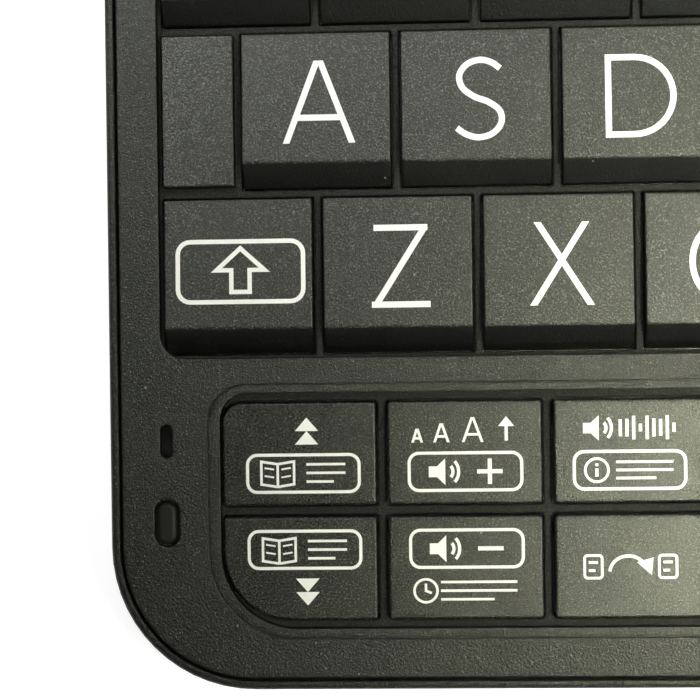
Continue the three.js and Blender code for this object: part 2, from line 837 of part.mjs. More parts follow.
// The circuit board with its chips, the earphone jack and the data socket.
function mainBoard() {
  const edge = wallThickness + partingGap;
  const board = prism(caseOutline(edge), boardUnder, boardTop);
  const [speakerX, speakerY] = speakerPlace;
  const speakerWay = block(
    speakerX - speakerRadius - restGap, speakerX + speakerRadius + restGap,
    speakerY - speakerRadius - restGap, rearEdge, boardUnder - cutOverrun, boardTop + cutOverrun,
  );
  const notch = postRadius + restGap;
  const postWays = postPlaces.map(([x, y]) => {
    const [left, right] = x > 0 ? [x - notch, bodyHalf] : [-bodyHalf, x + notch];
    return block(left, right, y - notch, y + notch, boardUnder - cutOverrun, boardTop + cutOverrun);
  });
  const chipHeight = underBoardSpace - restGap;
  const chipWidth = letterPitch * halfShare;
  const chips = [-1, 0, 1].map((step) => {
    const x = step * letterHalf * halfShare + letterPitch * halfShare;
    const y = (letterWellFront + letterWellRear) / 2;
    return block(
      x, x + chipWidth * (2 - Math.abs(step)), y - chipWidth, y,
      boardUnder - chipHeight, boardUnder + boardThickness * halfShare,
    );
  });
  const capsule = discAlongZ(
    microphoneLength / 2, -bodyHalf + sideLineInset, frontEdge + microphoneFromFront,
    boardTop - boardThickness * halfShare, gridUnder - restGap,
  );
  const jackLeft = -bodyHalf + wallThickness + socketClearance;
  const jack = block(
    jackLeft, jackLeft + jackBodyLength, jackY - jackBodyWidth / 2, jackY + jackBodyWidth / 2,
    jackZ - jackBodyHeight / 2, jackZ + jackBodyHeight / 2,
  );
  const jackBore = discAlongX(
    jackHoleRadius, jackLeft - cutOverrun, jackLeft + jackBodyLength - socketWall, jackZ,
    roundSegments,
  ).translate(0, jackY, 0);
  const socketRight = bodyHalf - wallThickness - socketClearance;
  const socket = block(
    socketRight - socketDepth, socketRight, socketY - socketWidth / 2, socketY + socketWidth / 2,
    boardTop - boardThickness * halfShare, boardTop + socketHeight,
  );
  const socketBore = block(
    socketRight - socketDepth + socketWall, socketRight + cutOverrun,
    socketY - socketWidth / 2 + socketWall, socketY + socketWidth / 2 - socketWall,
    boardTop, boardTop + socketHeight - socketWall,
  );
  const fitted = join(
    cut(board, speakerWay, ...postWays), ...chips, capsule, jack, socket,
  );
  place(base, "main_board", cut(fitted, jackBore, socketBore), boardGreen);
}

// A round speaker: a shallow cone frame with its magnet below, close under the grille.
function speaker() {
  const top = gridTop - restGap;
  const low = top - speakerHeight;
  const profile = [
    [0, low - speakerMagnetHeight],
    [speakerMagnetRadius, low - speakerMagnetHeight],
    [speakerMagnetRadius, low],
    [speakerRadius - speakerMagnetHeight, low],
    [speakerRadius, low + speakerMagnetHeight],
    [speakerRadius, top],
    [speakerRadius - speakerMagnetHeight * halfShare, top],
    [speakerMagnetRadius * halfShare, top - speakerMagnetHeight],
    [0, top - speakerMagnetHeight],
  ].map(([radius, z]) => new THREE.Vector2(radius, z));
  const geometry = new THREE.LatheGeometry(profile, roundSegments).rotateX(Math.PI / 2);
  place(
    base, "speaker", solidOf(geometry.translate(speakerPlace[0], speakerPlace[1], 0)), steel,
  );
}

function bumper(name, side) {
  const x = side * (bodyHalf - sideLineInset);
  const y = frontEdge + bumperFromFront;
  const box = [
    x - bumperWidth / 2, x + bumperWidth / 2, y - bumperLength / 2, y + bumperLength / 2,
  ];
  const radii = Array(4).fill(bumperWidth);
  const ease = bumperWidth * halfShare * halfShare;
  const at = (z, inset) => ringAt(outline(box, radii, inset, smallCornerSteps * 2), z);
  const solid = loft([
    at(panelTop - bumperPocketDepth + restGap, 0),
    at(panelTop + bumperRise - ease, 0),
    at(panelTop + bumperRise - ease / 3, ease / 3),
    at(panelTop + bumperRise, ease),
  ]);
  place(base, name, solid, rubber);
}

function rubberFoot(name, centreY) {
  const box = footBox(centreY);
  const radii = Array(4).fill(footWidth);
  const ease = footHeight / 2;
  const at = (z, inset) => ringAt(outline(box, radii, inset, smallCornerSteps * 2), z);
  const solid = loft([
    at(0, ease), at(ease, 0), at(footHeight + footPocketDepth - restGap, 0),
  ]);
  place(base, name, solid, rubber);
}

// Battery bay

// A cylindrical cell on its side, its button end towards +X.
function cell(name, left) {
  const profile = [
    [0, 0],
    [cellRadius - cellEdge, 0],
    [cellRadius, cellEdge],
    [cellRadius, cellBodyLength - cellEdge],
    [cellRadius - cellEdge, cellBodyLength],
    [cellNubRadius, cellBodyLength],
    [cellNubRadius, cellLength],
    [0, cellLength],
  ].map(([radius, along]) => new THREE.Vector2(radius, along));
  const geometry = new THREE.LatheGeometry(profile, roundSegments).rotateZ(-Math.PI / 2);
  const lowered = cellClearance - restGap;
  place(base, name, solidOf(geometry.translate(left, 0, axisHeight - lowered)), cellJacket);
}

// The conical contact spring behind the left cell.
class SpringPath extends THREE.Curve {
  getPoint(share) {
    const angle = share * springTurns * Math.PI * 2;
    const radius = THREE.MathUtils.lerp(springRadius, springTipRadius, share);
    const along = THREE.MathUtils.lerp(springWire, springLength - springWire, share);
    return new THREE.Vector3(along, radius * Math.cos(angle), radius * Math.sin(angle));
  }
}

function contactSpring(left) {
  const wireSides = 5;
  const stepsPerTurn = 8;
  const section = new THREE.Shape(
    new THREE.EllipseCurve(0, 0, springWire / 2, springWire / 2).getPoints(wireSides).slice(1),
  );
  const geometry = new THREE.ExtrudeGeometry(section, {
    steps: springTurns * stepsPerTurn,
    extrudePath: new SpringPath(),
    bevelEnabled: false,
  });
  place(base, "battery_spring", solidOf(geometry.translate(left, 0, axisHeight)), steel);
}

function batteryBay() {
  const bayLeft = -barrelHalf + barrelEndWall;
  contactSpring(bayLeft + restGap);
  const firstCell = bayLeft + springLength + 2 * restGap;
  cell("battery_left", firstCell);
  cell("battery_right", firstCell + cellLength + restGap);
}

// The battery cover is the lower rear wall of the barrel, with two finger ribs, and draws off to the rear.
function batteryCover() {
  const wall = barrelSector(
    barrelInner, barrelRadius, coverStartDegrees, coverEndDegrees - arcGapDegrees,
    -coverHalf, coverHalf,
  );
  const ribs = [-1, 1].map((step) => {
    const ribWidthDegrees = THREE.MathUtils.radToDeg(coverRibWidth / barrelRadius);
    const centre = step * 2 * ribWidthDegrees;
    return barrelSector(
      barrelInner + barrelWall * halfShare, barrelRadius + coverRibHeight,
      centre - ribWidthDegrees / 2, centre + ribWidthDegrees / 2,
      -coverRibLength / 2, coverRibLength / 2,
    );
  });
  place(base, "battery_cover", join(wall, ...ribs), casePlastic);
}

// Each hinge pin stands in the barrel's end wall and carries one ear of the lid.
function hingePin(name, side) {
  const inner = barrelHalf - barrelEndWall + restGap;
  const outer = inner + hingePinLength;
  const tip = hingePinRadius * halfShare;
  const profile = [
    [0, inner], [hingePinRadius, inner], [hingePinRadius, outer - tip / 2],
    [hingePinRadius - tip / 2, outer], [0, outer],
  ].map(([radius, along]) => new THREE.Vector2(radius, along));
  const geometry = new THREE.LatheGeometry(profile, roundSegments)
    .rotateZ(-Math.PI / 2)
    .rotateY(side > 0 ? 0 : Math.PI);
  place(base, name, solidOf(geometry.translate(0, 0, axisHeight)), steel);
}

// Lid, drawn closed about the hinge axis and turned open at the end

const lidFace = panelTop + lidGap - axisHeight;
const lidBack = lidFace + lidThickness;
const bezelBack = lidFace + bezelThickness;
const windowBox = [
  -bodyHalf + windowSideMargin, bodyHalf - windowSideMargin,
  frontEdge + windowFrontMargin, rearEdge - windowRearMargin,
];

// The outer cover with its lip, ledge and the two hinge ears.
function lidShell() {
  const outer = loft([
    ringAt(caseOutline(rimEase), lidFace),
    ringAt(caseOutline(0), lidFace + rimEase),
    ringAt(caseOutline(0), lidBack - lidEdgeHeight),
    ringAt(caseOutline(lidEdgeStepInset), lidBack - lidEdgeStepHeight),
    ringAt(caseOutline(lidEdgeInset), lidBack),
  ]);
  const lipRecess = prism(caseOutline(lipWidth), lidFace - cutOverrun, bezelBack + restGap);
  const hollow = prism(caseOutline(wallThickness), lidFace - cutOverrun, lidBack - lidPlate);
  let shell = cut(outer, lipRecess, hollow);
  for (const side of [-1, 1]) {
    shell = join(shell, hingeEar(side));
    const boreEnd = barrelHalf - barrelEndWall + hingePinLength + 2 * restGap;
    const bore = discAlongX(
      hingePinRadius + hingeRunningGap, earInner - cutOverrun, boreEnd, 0, roundSegments,
    );
    shell = cut(shell, side > 0 ? bore : bore.mirror([1, 0, 0]));
  }
  place(lid, "lid_shell", shell, casePlastic);
}

function hingeEar(side) {
  const profile = [
    [0, earInner], [barrelRadius, earInner], [barrelRadius, bodyHalf - earEdge],
    [barrelRadius - earEdge / 3, bodyHalf - earEdge / 3], [barrelRadius - earEdge, bodyHalf],
    [0, bodyHalf],
  ].map(([radius, along]) => new THREE.Vector2(radius, along));
  const drum = solidOf(
    new THREE.LatheGeometry(profile, barrelSegments).rotateZ(-Math.PI / 2),
  );
  const web = block(
    earInner, bodyHalf - earEdge, rearEdge - wallThickness * halfShare, 0,
    lidFace, lidBack - lidEdgeStepHeight,
  );
  const ear = join(drum, web);
  return side > 0 ? ear : ear.mirror([1, 0, 0]);
}

// The inner frame round the display, its window bevelled towards the glass.
function lidBezel() {
  const frame = prism(caseOutline(lipWidth + partingGap), lidFace, bezelBack);
  const at = (z, inset) =>
    ringAt(outline(windowBox, Array(4).fill(windowRadius + windowBevel), inset), z);
  const window = loft([
    at(lidFace - cutOverrun, -windowBevel),
    at(lidFace, -windowBevel),
    at(bezelBack, 0),
    at(bezelBack + cutOverrun, 0),
  ]);
  place(lid, "lid_bezel", cut(frame, window), panelPlastic);
}

function displayGlass() {
  const low = bezelBack + restGap;
  const glass = prism(
    outline(grown(windowBox, glassOverlap), Array(4).fill(windowRadius)),
    low, low + glassThickness,
  );
  place(lid, "display_glass", glass, screenGlass);
}

// The display module behind the glass, with the tab that carries its ribbon connector.
function displayModule() {
  const low = bezelBack + restGap + glassThickness + restGap;
  const box = grown(windowBox, moduleOverlap);
  const plate = prism(outline(box, Array(4).fill(windowRadius)), low, low + moduleThickness);
  const tab = block(
    -moduleTabWidth / 2, moduleTabWidth / 2, box[3] - moduleTabDepth, box[3] + moduleTabDepth,
    low, low + moduleThickness * halfShare,
  );
  place(lid, "display_module", join(plate, tab), moduleMetal);
}

// Assembly

lowerCase();
topPanel();
keyMat();
mainBoard();
speaker();
letterKeys.forEach(letterKey);
functionKeys.forEach(functionKey);
shortcutComb();
bumper("bumper_left", -1);
bumper("bumper_right", 1);
Object.entries(feet).forEach(([name, y]) => rubberFoot(name, y));
batteryBay();
batteryCover();
hingePin("hinge_pin_left", -1);
hingePin("hinge_pin_right", 1);

lidShell();
lidBezel();
displayGlass();
displayModule();
lid.position.z = axisHeight;
lid.rotation.x = -degrees(lidOpenDegrees);

// The origin is on the table, under the middle of the open dictionary.
root.updateMatrixWorld(true);
const bounds = new THREE.Box3().setFromObject(root, true);
root.position.y = -(bounds.min.y + bounds.max.y) / 2;

export default root;
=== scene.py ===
import json
import math

import bmesh
import bpy
from mathutils import Matrix, Vector
from mathutils.geometry import tessellate_polygon


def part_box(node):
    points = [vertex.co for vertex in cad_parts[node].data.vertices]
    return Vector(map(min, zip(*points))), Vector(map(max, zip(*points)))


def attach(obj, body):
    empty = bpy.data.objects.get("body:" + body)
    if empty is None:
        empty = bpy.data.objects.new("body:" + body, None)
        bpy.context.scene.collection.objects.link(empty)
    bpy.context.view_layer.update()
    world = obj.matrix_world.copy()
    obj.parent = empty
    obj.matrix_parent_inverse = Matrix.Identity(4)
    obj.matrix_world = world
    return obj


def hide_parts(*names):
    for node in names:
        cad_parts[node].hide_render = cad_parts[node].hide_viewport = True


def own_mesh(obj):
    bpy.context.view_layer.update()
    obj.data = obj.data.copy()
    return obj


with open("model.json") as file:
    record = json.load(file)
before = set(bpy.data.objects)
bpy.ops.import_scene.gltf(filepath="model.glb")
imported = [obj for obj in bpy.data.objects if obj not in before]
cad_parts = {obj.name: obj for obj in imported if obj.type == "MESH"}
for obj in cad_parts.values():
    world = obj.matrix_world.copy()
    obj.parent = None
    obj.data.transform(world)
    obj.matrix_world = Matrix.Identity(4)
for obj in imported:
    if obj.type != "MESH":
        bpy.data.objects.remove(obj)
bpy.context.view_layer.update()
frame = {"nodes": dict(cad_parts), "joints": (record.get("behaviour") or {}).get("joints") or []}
print("frame loaded:", len(frame["nodes"]), "nodes")

mm = 0.001

# All sizes below are in millimetres, in the frame's own axes


def cadBox(node):
    low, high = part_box(node)
    return [low.x / mm, high.x / mm, low.y / mm, high.y / mm, low.z / mm, high.z / mm]


hinge = next(joint for joint in frame["joints"] if joint["name"] == "lid_hinge")
axisY, axisZ = hinge["pos_m"][1] / mm, hinge["pos_m"][2] / mm
lidTurn = math.radians(hinge["range_deg"][0])   # from closed to the stored pose, about +X

barrel = {
    "radius": 9.2, "inner": 7.7, "half": 57.1, "endWall": 3.0, "pinHole": 2.5, "ease": 0.25,
    "toCase": 9.8, "toTongue": 8.4,     # from the axis forward
    "coverHalf": 53.5, "coverGap": 0.3,
    "coverStart": -100.0, "coverEnd": 50.0, "archEnd": 190.0, "gapDegrees": 2.2,
}
case = {
    "half": cadBox("base_lower_case")[1], "front": cadBox("base_lower_case")[2],
    "rear": axisY - barrel["toCase"], "cornerRadius": 12.5, "rearCornerRadius": 1.6, "lip": 0.78,
    "partingGap": 0.22, "wall": 2.0, "under": 0.6, "floorTop": 1.9, "ledge": 7.9, "top": 9.4,
    "turnInset": 2.4, "turnHeight": 3.4, "rimEase": 0.45,
}
caseBox = [-case["half"], case["half"], case["front"], case["rear"]]
caseRadii = [case["cornerRadius"]] * 2 + [case["rearCornerRadius"]] * 2

leastArc = 0.02    # no corner closes to a point
flatBand = 0.15    # a ring that keeps the flat beside a rounded edge flat
overrun = 2.0      # how far a cutting shape passes the wall it cuts


# Shapes in code

# the faces between rings of equal counts, from the first to the last or all the way round
def bands(rings, count, start=0, closed=False):
    faces = []
    for k in range(rings if closed else rings - 1):
        low, high = start + k * count, start + (k + 1) % rings * count
        for i in range(count):
            after = (i + 1) % count
            faces.append((low + i, low + after, high + after, high + i))
    return faces


class Shape:
    def __init__(self):
        self.points = []
        self.faces = []

    def add(self, points, faces):
        start = len(self.points)
        self.points += [tuple(point) for point in points]
        self.faces += [[start + i for i in face] for face in faces]
        return self

    # a closed solid through rings of equal counts
    def loft(self, rings):
        count = len(rings[0])
        last = (len(rings) - 1) * count
        faces = bands(len(rings), count)
        faces += [list(range(count))[::-1], [last + i for i in range(count)]]
        return self.add([point for ring in rings for point in ring], faces)

    # a plate whose outer edge and holes each have their own stack of rings, from the underside to the top
    def plate(self, stacks):
        points, faces = [], []
        lows, highs = [], []
        for rings in stacks:
            start, count = len(points), len(rings[0])
            points += [point for ring in rings for point in ring]
            faces += bands(len(rings), count, start)
            lows.append([start + i for i in range(count)])
            highs.append([start + (len(rings) - 1) * count + i for i in range(count)])
        for loops in (lows, highs):
            flat = [i for loop in loops for i in loop]
            for triangle in tessellate_polygon([[Vector(points[i]) for i in loop] for loop in loops]):
                faces.append([flat[i] for i in triangle])
        return self.add(points, faces)

    def block(self, left, right, front, rear, low, high):
        ring = [(left, front), (right, front), (right, rear), (left, rear)]
        return self.loft([atHeight(ring, low), atHeight(ring, high)])

    # round about a line along X, on the hinge axis unless it is placed
    def drum(self, radius, left, right, y=axisY, z=axisZ, steps=72):
        return self.loft([
            [(x, y + radius * math.cos(turn), z + radius * math.sin(turn)) for turn in turns(steps)]
            for x in (left, right)
        ])

    def post(self, radius, x, y, low, high, steps=32):
        ring = [(x + radius * math.cos(turn), y + radius * math.sin(turn)) for turn in turns(steps)]
        return self.loft([atHeight(ring, low), atHeight(ring, high)])

    # part of the barrel's wall; degrees run from the rear (0) over the top (90) to the front (180)
    def sector(self, inner, outer, start, end, left, right, ease=0.0, step=3.0):
        steps = math.ceil((end - start) / step)
        bearings = [math.radians(start + (end - start) * i / steps) for i in range(steps + 1)]
        ends = [(left, 0), (right, 0)]
        if ease:
            ends = [(left, ease), (left + ease, 0), (right - ease, 0), (right, ease)]

        def arc(x, radius, order):
            return [(x, axisY + radius * math.cos(b), axisZ + radius * math.sin(b)) for b in order]

        return self.loft([
            arc(x, outer - drop, bearings) + arc(x, inner + drop, bearings[::-1]) for x, drop in ends
        ])


def turns(steps):
    return [2 * math.pi * i / steps for i in range(steps)]


# over a quarter turn: what has been gained from 0 to 1, and what is still missing from 1 to 0
def quarter(steps):
    for i in range(steps + 1):
        turn = math.radians(90 * i / steps)
        yield 1 - math.cos(turn), 1 - math.sin(turn)


# a stretch on one side of the middle, from left to right
def span(side, near, far):
    return sorted((side * near, side * far))


def atHeight(ring, z):
    return [(x, y, z) for x, y in ring]


# a rectangle with round corners: front left, front right, rear right, rear left
def cornered(box, radii, inset=0.0, steps=14):
    left, right, front, rear = box
    ring = []
    for radius, x, y, toRight, toRear, start in (
        (radii[0], left, front, 1, 1, 180), (radii[1], right, front, -1, 1, 270),
        (radii[2], right, rear, -1, -1, 0), (radii[3], left, rear, 1, -1, 90),
    ):
        arc = max(radius - inset, leastArc)
        for i in range(steps + 1):
            turn = math.radians(start + 90 * i / steps)
            ring.append((
                x + toRight * (inset + arc) + arc * math.cos(turn),
                y + toRear * (inset + arc) + arc * math.sin(turn),
            ))
    return ring


# the rings of an edge rounded off at its top, from low to high, and one more on the flat
def easedRings(outline, low, high, ease, side=1, steps=3):
    rings = [atHeight(outline(0), low)]
    for gained, missing in quarter(steps):
        rings.append(atHeight(outline(side * ease * gained), high - ease * missing))
    return rings + [atHeight(outline(side * (ease + flatBand)), high)]


def newObject(name, data):
    piece = bpy.data.objects.new(name, data)
    bpy.context.scene.collection.objects.link(piece)
    return piece


def setShade(mesh, degrees=35):
    mesh.polygons.foreach_set("use_smooth", [True] * len(mesh.polygons))
    mesh.set_sharp_from_angle(angle=math.radians(degrees))


# large flat faces keep their own normals, and the narrow faces beside them bend
def weighNormals(piece):
    modifier = piece.modifiers.new("normals", "WEIGHTED_NORMAL")
    modifier.mode = "FACE_AREA"
    modifier.weight = 100
    modifier.keep_sharp = True
    return settle(piece, 0)


def objectOf(name, shape, material=None, place=None):
    mesh = bpy.data.meshes.new(name)
    mesh.from_pydata([Vector(point) * mm for point in shape.points], [], shape.faces)
    work = bmesh.new()
    work.from_mesh(mesh)
    bmesh.ops.remove_doubles(work, verts=work.verts, dist=1e-7)
    bmesh.ops.recalc_face_normals(work, faces=work.faces)
    work.to_mesh(mesh)
    work.free()
    if place:
        mesh.transform(place)
    setShade(mesh)
    if material:
        mesh.materials.append(material)
    return newObject(name, mesh)


# the evaluated shape becomes the piece's own plain mesh
def settle(piece, degrees=35):
    bpy.context.view_layer.update()
    graph = bpy.context.evaluated_depsgraph_get()
    mesh = bpy.data.meshes.new_from_object(piece.evaluated_get(graph))
    piece.modifiers.clear()
    piece.data = mesh
    if degrees:
        setShade(mesh, degrees)
    return piece


def carve(piece, operation, *shapes):
    for shape in shapes:
        tool = objectOf("tool", shape)
        modifier = piece.modifiers.new("carve", "BOOLEAN")
        modifier.solver = "MANIFOLD"
        modifier.operation = operation
        modifier.object = tool
        settle(piece)
        bpy.data.objects.remove(tool)


def join(piece, other):
    work = bmesh.new()
    work.from_mesh(piece.data)
    work.from_mesh(other.data)
    bpy.data.objects.remove(other)
    work.to_mesh(piece.data)
    work.free()


def bevelEdges(piece, look):
    edge = piece.modifiers.new("edges", "BEVEL")
    edge.width = look["width"] * mm
    edge.segments = look["segments"]
    edge.limit_method = "ANGLE"
    edge.angle_limit = math.radians(look["limit"])
    edge.harden_normals = look.get("harden", True)


def finishPiece(piece, body, slot, *nodes):
    weighNormals(piece)
    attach(piece, body)
    if nodes:
        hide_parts(*nodes)
    return piece


# Node graphs: one class for shaders and for geometry

def operator(operation, swap=False):
    return lambda wire, other: wire.math(operation, other, swap=swap)


class Wire:
    def __init__(self, graph, socket):
        self.graph = graph
        self.socket = socket

    def out(self, name):
        return Wire(self.graph, self.socket.node.outputs[name])

    def math(self, operation, *values, swap=False):
        wires = [self, *values]
        sockets = dict(enumerate(wires[::-1] if swap else wires))
        return self.graph.add("ShaderNodeMath", sockets, operation=operation)

    __add__ = __radd__ = operator("ADD")
    __sub__ = operator("SUBTRACT")
    __rsub__ = operator("SUBTRACT", swap=True)
    __mul__ = __rmul__ = operator("MULTIPLY")
    __truediv__ = operator("DIVIDE")
    __lt__ = operator("LESS_THAN")
    __gt__ = operator("GREATER_THAN")

    def __neg__(self):
        return self.math("MULTIPLY", -1.0)


class Graph:
    def __init__(self, tree):
        self.tree = tree
        self.family = "ShaderNode" if tree.type == "SHADER" else "GeometryNode"

    # a kind without a family is of the tree's own; settings come before the sockets' values or links
    def add(self, kind, sockets=None, out=0, **settings):
        node = self.tree.nodes.new(kind if "Node" in kind else self.family + kind)
        for _ in range(settings.pop("cases", 2) - 2):
            node.index_switch_items.new()
        for name, value in settings.items():
            setattr(node, name, value)
        for name, value in (sockets or {}).items():
            socket = node.inputs[name]
            wires = value if isinstance(value, list) else [value]
            if isinstance(wires[0], Wire):
                for wire in wires:
                    self.tree.links.new(wire.socket, socket)
            else:
                socket.default_value = value
        return Wire(self, node.outputs[out]) if node.outputs else None

    def vector(self, x, y, z):
        return self.add("ShaderNodeCombineXYZ", {0: x, 1: y, 2: z})

    def parts(self, vector):
        whole = self.add("ShaderNodeSeparateXYZ", {0: vector})
        return whole, whole.out("Y"), whole.out("Z")

    def blendColour(self, share, first, second):
        def four(colour):
            return colour if isinstance(colour, Wire) else (*colour, 1)
        sockets = {0: share, 6: four(first), 7: four(second)}
        return self.add("Mix", sockets, 2, data_type="RGBA", blend_type="MIX", clamp_factor=True)

    # one of several values by the point's own number
    def byIndex(self, kind, values):
        sockets = {0: self.add("InputIndex"), **{i + 1: value for i, value in enumerate(values)}}
        return self.add("IndexSwitch", sockets, data_type=kind, cases=len(values))

    # a closed loop through points given in a plane
    def loop(self, places):
        corners = self.byIndex("VECTOR", [self.vector(u, v, 0.0) for u, v in places])
        ring = self.add("CurvePrimitiveCircle", {"Resolution": len(places)}, mode="RADIUS")
        return self.add("SetPosition", {0: ring, 2: corners})

    # a closed prism that rises from an outline
    def prism(self, outline, rise):
        face = self.add("FillCurve", {0: outline}, mode="NGONS")
        side = self.add("ExtrudeMesh", {
            0: face, "Offset": self.vector(0.0, 0.0, rise), "Offset Scale": 1.0, "Individual": False,
        }, mode="FACES")
        back = self.add("FlipFaces", {0: face})
        whole = self.add("JoinGeometry", {0: [side, back]})
        return self.add("MergeByDistance", {0: whole, "Distance": 1e-7})

    def rounded(self, outline, radius, steps):
        sockets = {0: outline, "Count": steps, "Radius": radius, "Limit Radius": True}
        return self.add("FilletCurve", sockets, mode="POLY")

    def box(self, x, y, z):
        return self.add("MeshCube", {0: self.vector(x, y, z)})

    def moved(self, geometry, place):
        return self.add("Transform", {0: geometry, 1: place})

    def raised(self, geometry, height):
        return self.moved(geometry, self.vector(0.0, 0.0, height))


trees = {}


# the geometry tree that a function builds, made once, with an input for each of the values
def treeOf(build, values):
    if build in trees:
        return trees[build]
    tree = trees[build] = bpy.data.node_groups.new(build.__name__, "GeometryNodeTree")
    tree.interface.new_socket("Geometry", in_out="OUTPUT", socket_type="NodeSocketGeometry")
    kinds = {int: "Int", float: "Float", Vector: "Vector"}
    inputs = {"Points": "Geometry", **{label: kinds[type(value)] for label, value in values.items()}}
    inputs["Material"] = "Material"
    for label, kind in inputs.items():
        tree.interface.new_socket(label, in_out="INPUT", socket_type="NodeSocket" + kind)
    graph = Graph(tree)
    entry = tree.nodes.new("NodeGroupInput")
    given = {label: Wire(graph, entry.outputs[label]) for label in inputs}
    real = graph.add("RealizeInstances", {0: build(graph, given)})
    painted = graph.add("SetMaterial", {0: real, 2: given["Material"]})
    end = tree.nodes.new("NodeGroupOutput")
    tree.links.new(painted.socket, end.inputs[0])
    return tree


# an object made by a tree, from counts and from sizes and places in millimetres
def grow(name, build, values, material, bevel, mesh=None, degrees=0):
    piece = newObject(name, mesh or bpy.data.meshes.new(name))
    modifier = piece.modifiers.new(name, "NODES")
    tree = modifier.node_group = treeOf(build, values)
    sockets = {item.name: item.identifier for item in tree.interface.items_tree if item.in_out == "INPUT"}
    for label, value in values.items():
        modifier[sockets[label]] = value if isinstance(value, int) else value * mm
    modifier[sockets["Material"]] = material
    bevelEdges(piece, bevel)
    settle(piece, degrees)
    piece.data.name = name
    return piece


# Camera, first, at the photograph's viewpoint

view = {
    "place": (-43.18, -40.23, 182.64),
    "turn": (-0.0049, 0.0559, -0.0132),    # axis times angle
    "focalPixels": 2000.8, "framePixels": 700, "sensor": 36.0,
    "near": 0.01, "far": 20,               # in metres
}
cameraData = bpy.data.cameras.new("camera")
cameraData.sensor_width = view["sensor"]
cameraData.lens = view["focalPixels"] / view["framePixels"] * view["sensor"]
cameraData.clip_start = view["near"]
cameraData.clip_end = view["far"]
camera = newObject("camera", cameraData)
bpy.context.scene.camera = camera
turnVector = Vector(view["turn"])
cameraTurn = Matrix.Rotation(turnVector.length, 4, turnVector.normalized())
camera.matrix_world = Matrix.Translation(Vector(view["place"]) * mm) @ cameraTurn
print("camera placed")


# Materials

def newMaterial(name):
    material = bpy.data.materials.new(name)
    material.use_nodes = True
    material.node_tree.nodes.clear()
    return material, Graph(material.node_tree)


def closeMaterial(graph, shader):
    graph.add("OutputMaterial", {0: shader})


def objectPlace(graph):
    return graph.add("TexCoord", out="Object")


def noise(graph, place, size, detail=2.0, roughness=0.55, distortion=0.0):
    return graph.add("TexNoise", {
        "Vector": place, "Scale": 1 / (size * mm), "Detail": detail, "Roughness": roughness,
        "Distortion": distortion,
    })


def cellPattern(graph, place, size, distance, randomness=1.0):
    sockets = {"Vector": place, "Scale": 1 / (size * mm), "Randomness": randomness}
    return graph.add("TexVoronoi", sockets, distance=distance)


def bump(graph, strength, depth, height, **sockets):
    return graph.add("Bump", {"Strength": strength, "Distance": depth * mm, "Height": height, **sockets})


# dust: a small dot in a few of the cells
def dustOver(graph, place, look, colour):
    cells = cellPattern(graph, place, look["dustSpacing"], "EUCLIDEAN")
    pick = graph.parts(cells.out("Color"))[0]
    dust = (cells < look["dustSize"]) * (pick > 1 - look["dustShare"])
    return graph.blendColour(dust * look["dustStrength"], colour, look["dustColour"])


# scratches: the level line of a noise drawn out along one direction
def scratchesOver(graph, place, look, colour):
    scratches = 0.0
    for turn, stretch in look["scratchRuns"]:
        sockets = {"Vector": place, "Rotation": (0, 0, turn), "Scale": (1.0, 1 / stretch, 1.0)}
        drawn = graph.add("Mapping", sockets, vector_type="POINT")
        level = (noise(graph, drawn, look["scratchSize"], 1.0, 0.5) - 0.5).math("ABSOLUTE")
        gate = noise(graph, place, look["scratchPatch"], 1.0, 0.5)
        scratches = (level < look["scratchWidth"]) * (gate > look["scratchGate"]) + scratches
    return graph.blendColour(scratches * look["scratch"], colour, look["scratchColour"])


# moulded plastic with a spark-eroded grain, fine scratches and a few specks of dust
def mouldedPlastic(name, look):
    material, graph = newMaterial(name)
    place = objectPlace(graph)
    grain = noise(graph, place, look["grain"], 2.0, 0.6)
    relief = noise(graph, place, look["relief"], 2.0, 0.6)
    cloud = noise(graph, place, look["cloudSize"], 3.0, 0.6)
    shade = (grain - 0.5) * look["mottle"] + (cloud - 0.5) * look["cloud"] + look["balance"]
    if look.get("plainBelow"):    # the caps' upward tops carry the grain, and their steep fronts get only the dark colour: painted shade on the fronts
        upward = graph.parts(graph.add("TexCoord", out="Normal"))[2]
        shade = shade * (upward > look["plainBelow"])
    colour = graph.blendColour(shade, look["dark"], look["light"])
    colour = dustOver(graph, place, look, colour)
    colour = scratchesOver(graph, place, look, colour)
    edge = {}
    if look.get("edge"):
        edge["Normal"] = graph.add("Bevel", {"Radius": look["edge"] * mm}, samples=4)
    rough = (relief - 0.5) * look["roughVary"] + (cloud - 0.5) * look["roughCloud"] + look["roughness"]
    shader = graph.add("BsdfPrincipled", {
        "Base Color": colour, "Roughness": rough,
        "Normal": bump(graph, look["bump"], look["depth"], relief, **edge),
        "IOR": look["ior"], "Specular IOR Level": look["specular"], "Specular Tint": (*look["tint"], 1),
    })
    closeMaterial(graph, shader)
    return material


panelLook = {
    "dark": (0.0010, 0.0010, 0.0010), "light": (0.165, 0.168, 0.160), "grain": 0.13, "mottle": 9.0,
    "balance": -0.98, "cloud": 0.5, "cloudSize": 11.0, "relief": 0.18, "bump": 1.0, "depth": 0.09,
    "roughness": 0.36, "roughVary": 0.3, "roughCloud": 0.1, "ior": 1.52, "specular": 0.5,
    "tint": (0.955, 1.0, 0.88), "dustSpacing": 2.6, "dustSize": 0.035, "dustShare": 0.3,
    "dustStrength": 0.5, "dustColour": (0.45, 0.45, 0.40), "scratch": 0.03,
    "scratchColour": (0.5, 0.5, 0.46), "scratchSize": 0.9, "scratchWidth": 0.004, "scratchPatch": 5.0,
    "scratchGate": 0.56, "scratchRuns": ((0.5, 40.0), (-0.9, 26.0)),
}
# on the key caps, faces that point less upward than the given share get only the dark colour, as painted
# shade
keyLook = {
    **panelLook, "light": (0.095, 0.097, 0.088), "grain": 0.15, "relief": 0.17, "roughness": 0.32,
    "depth": 0.06, "balance": -0.35, "plainBelow": 0.95,
}
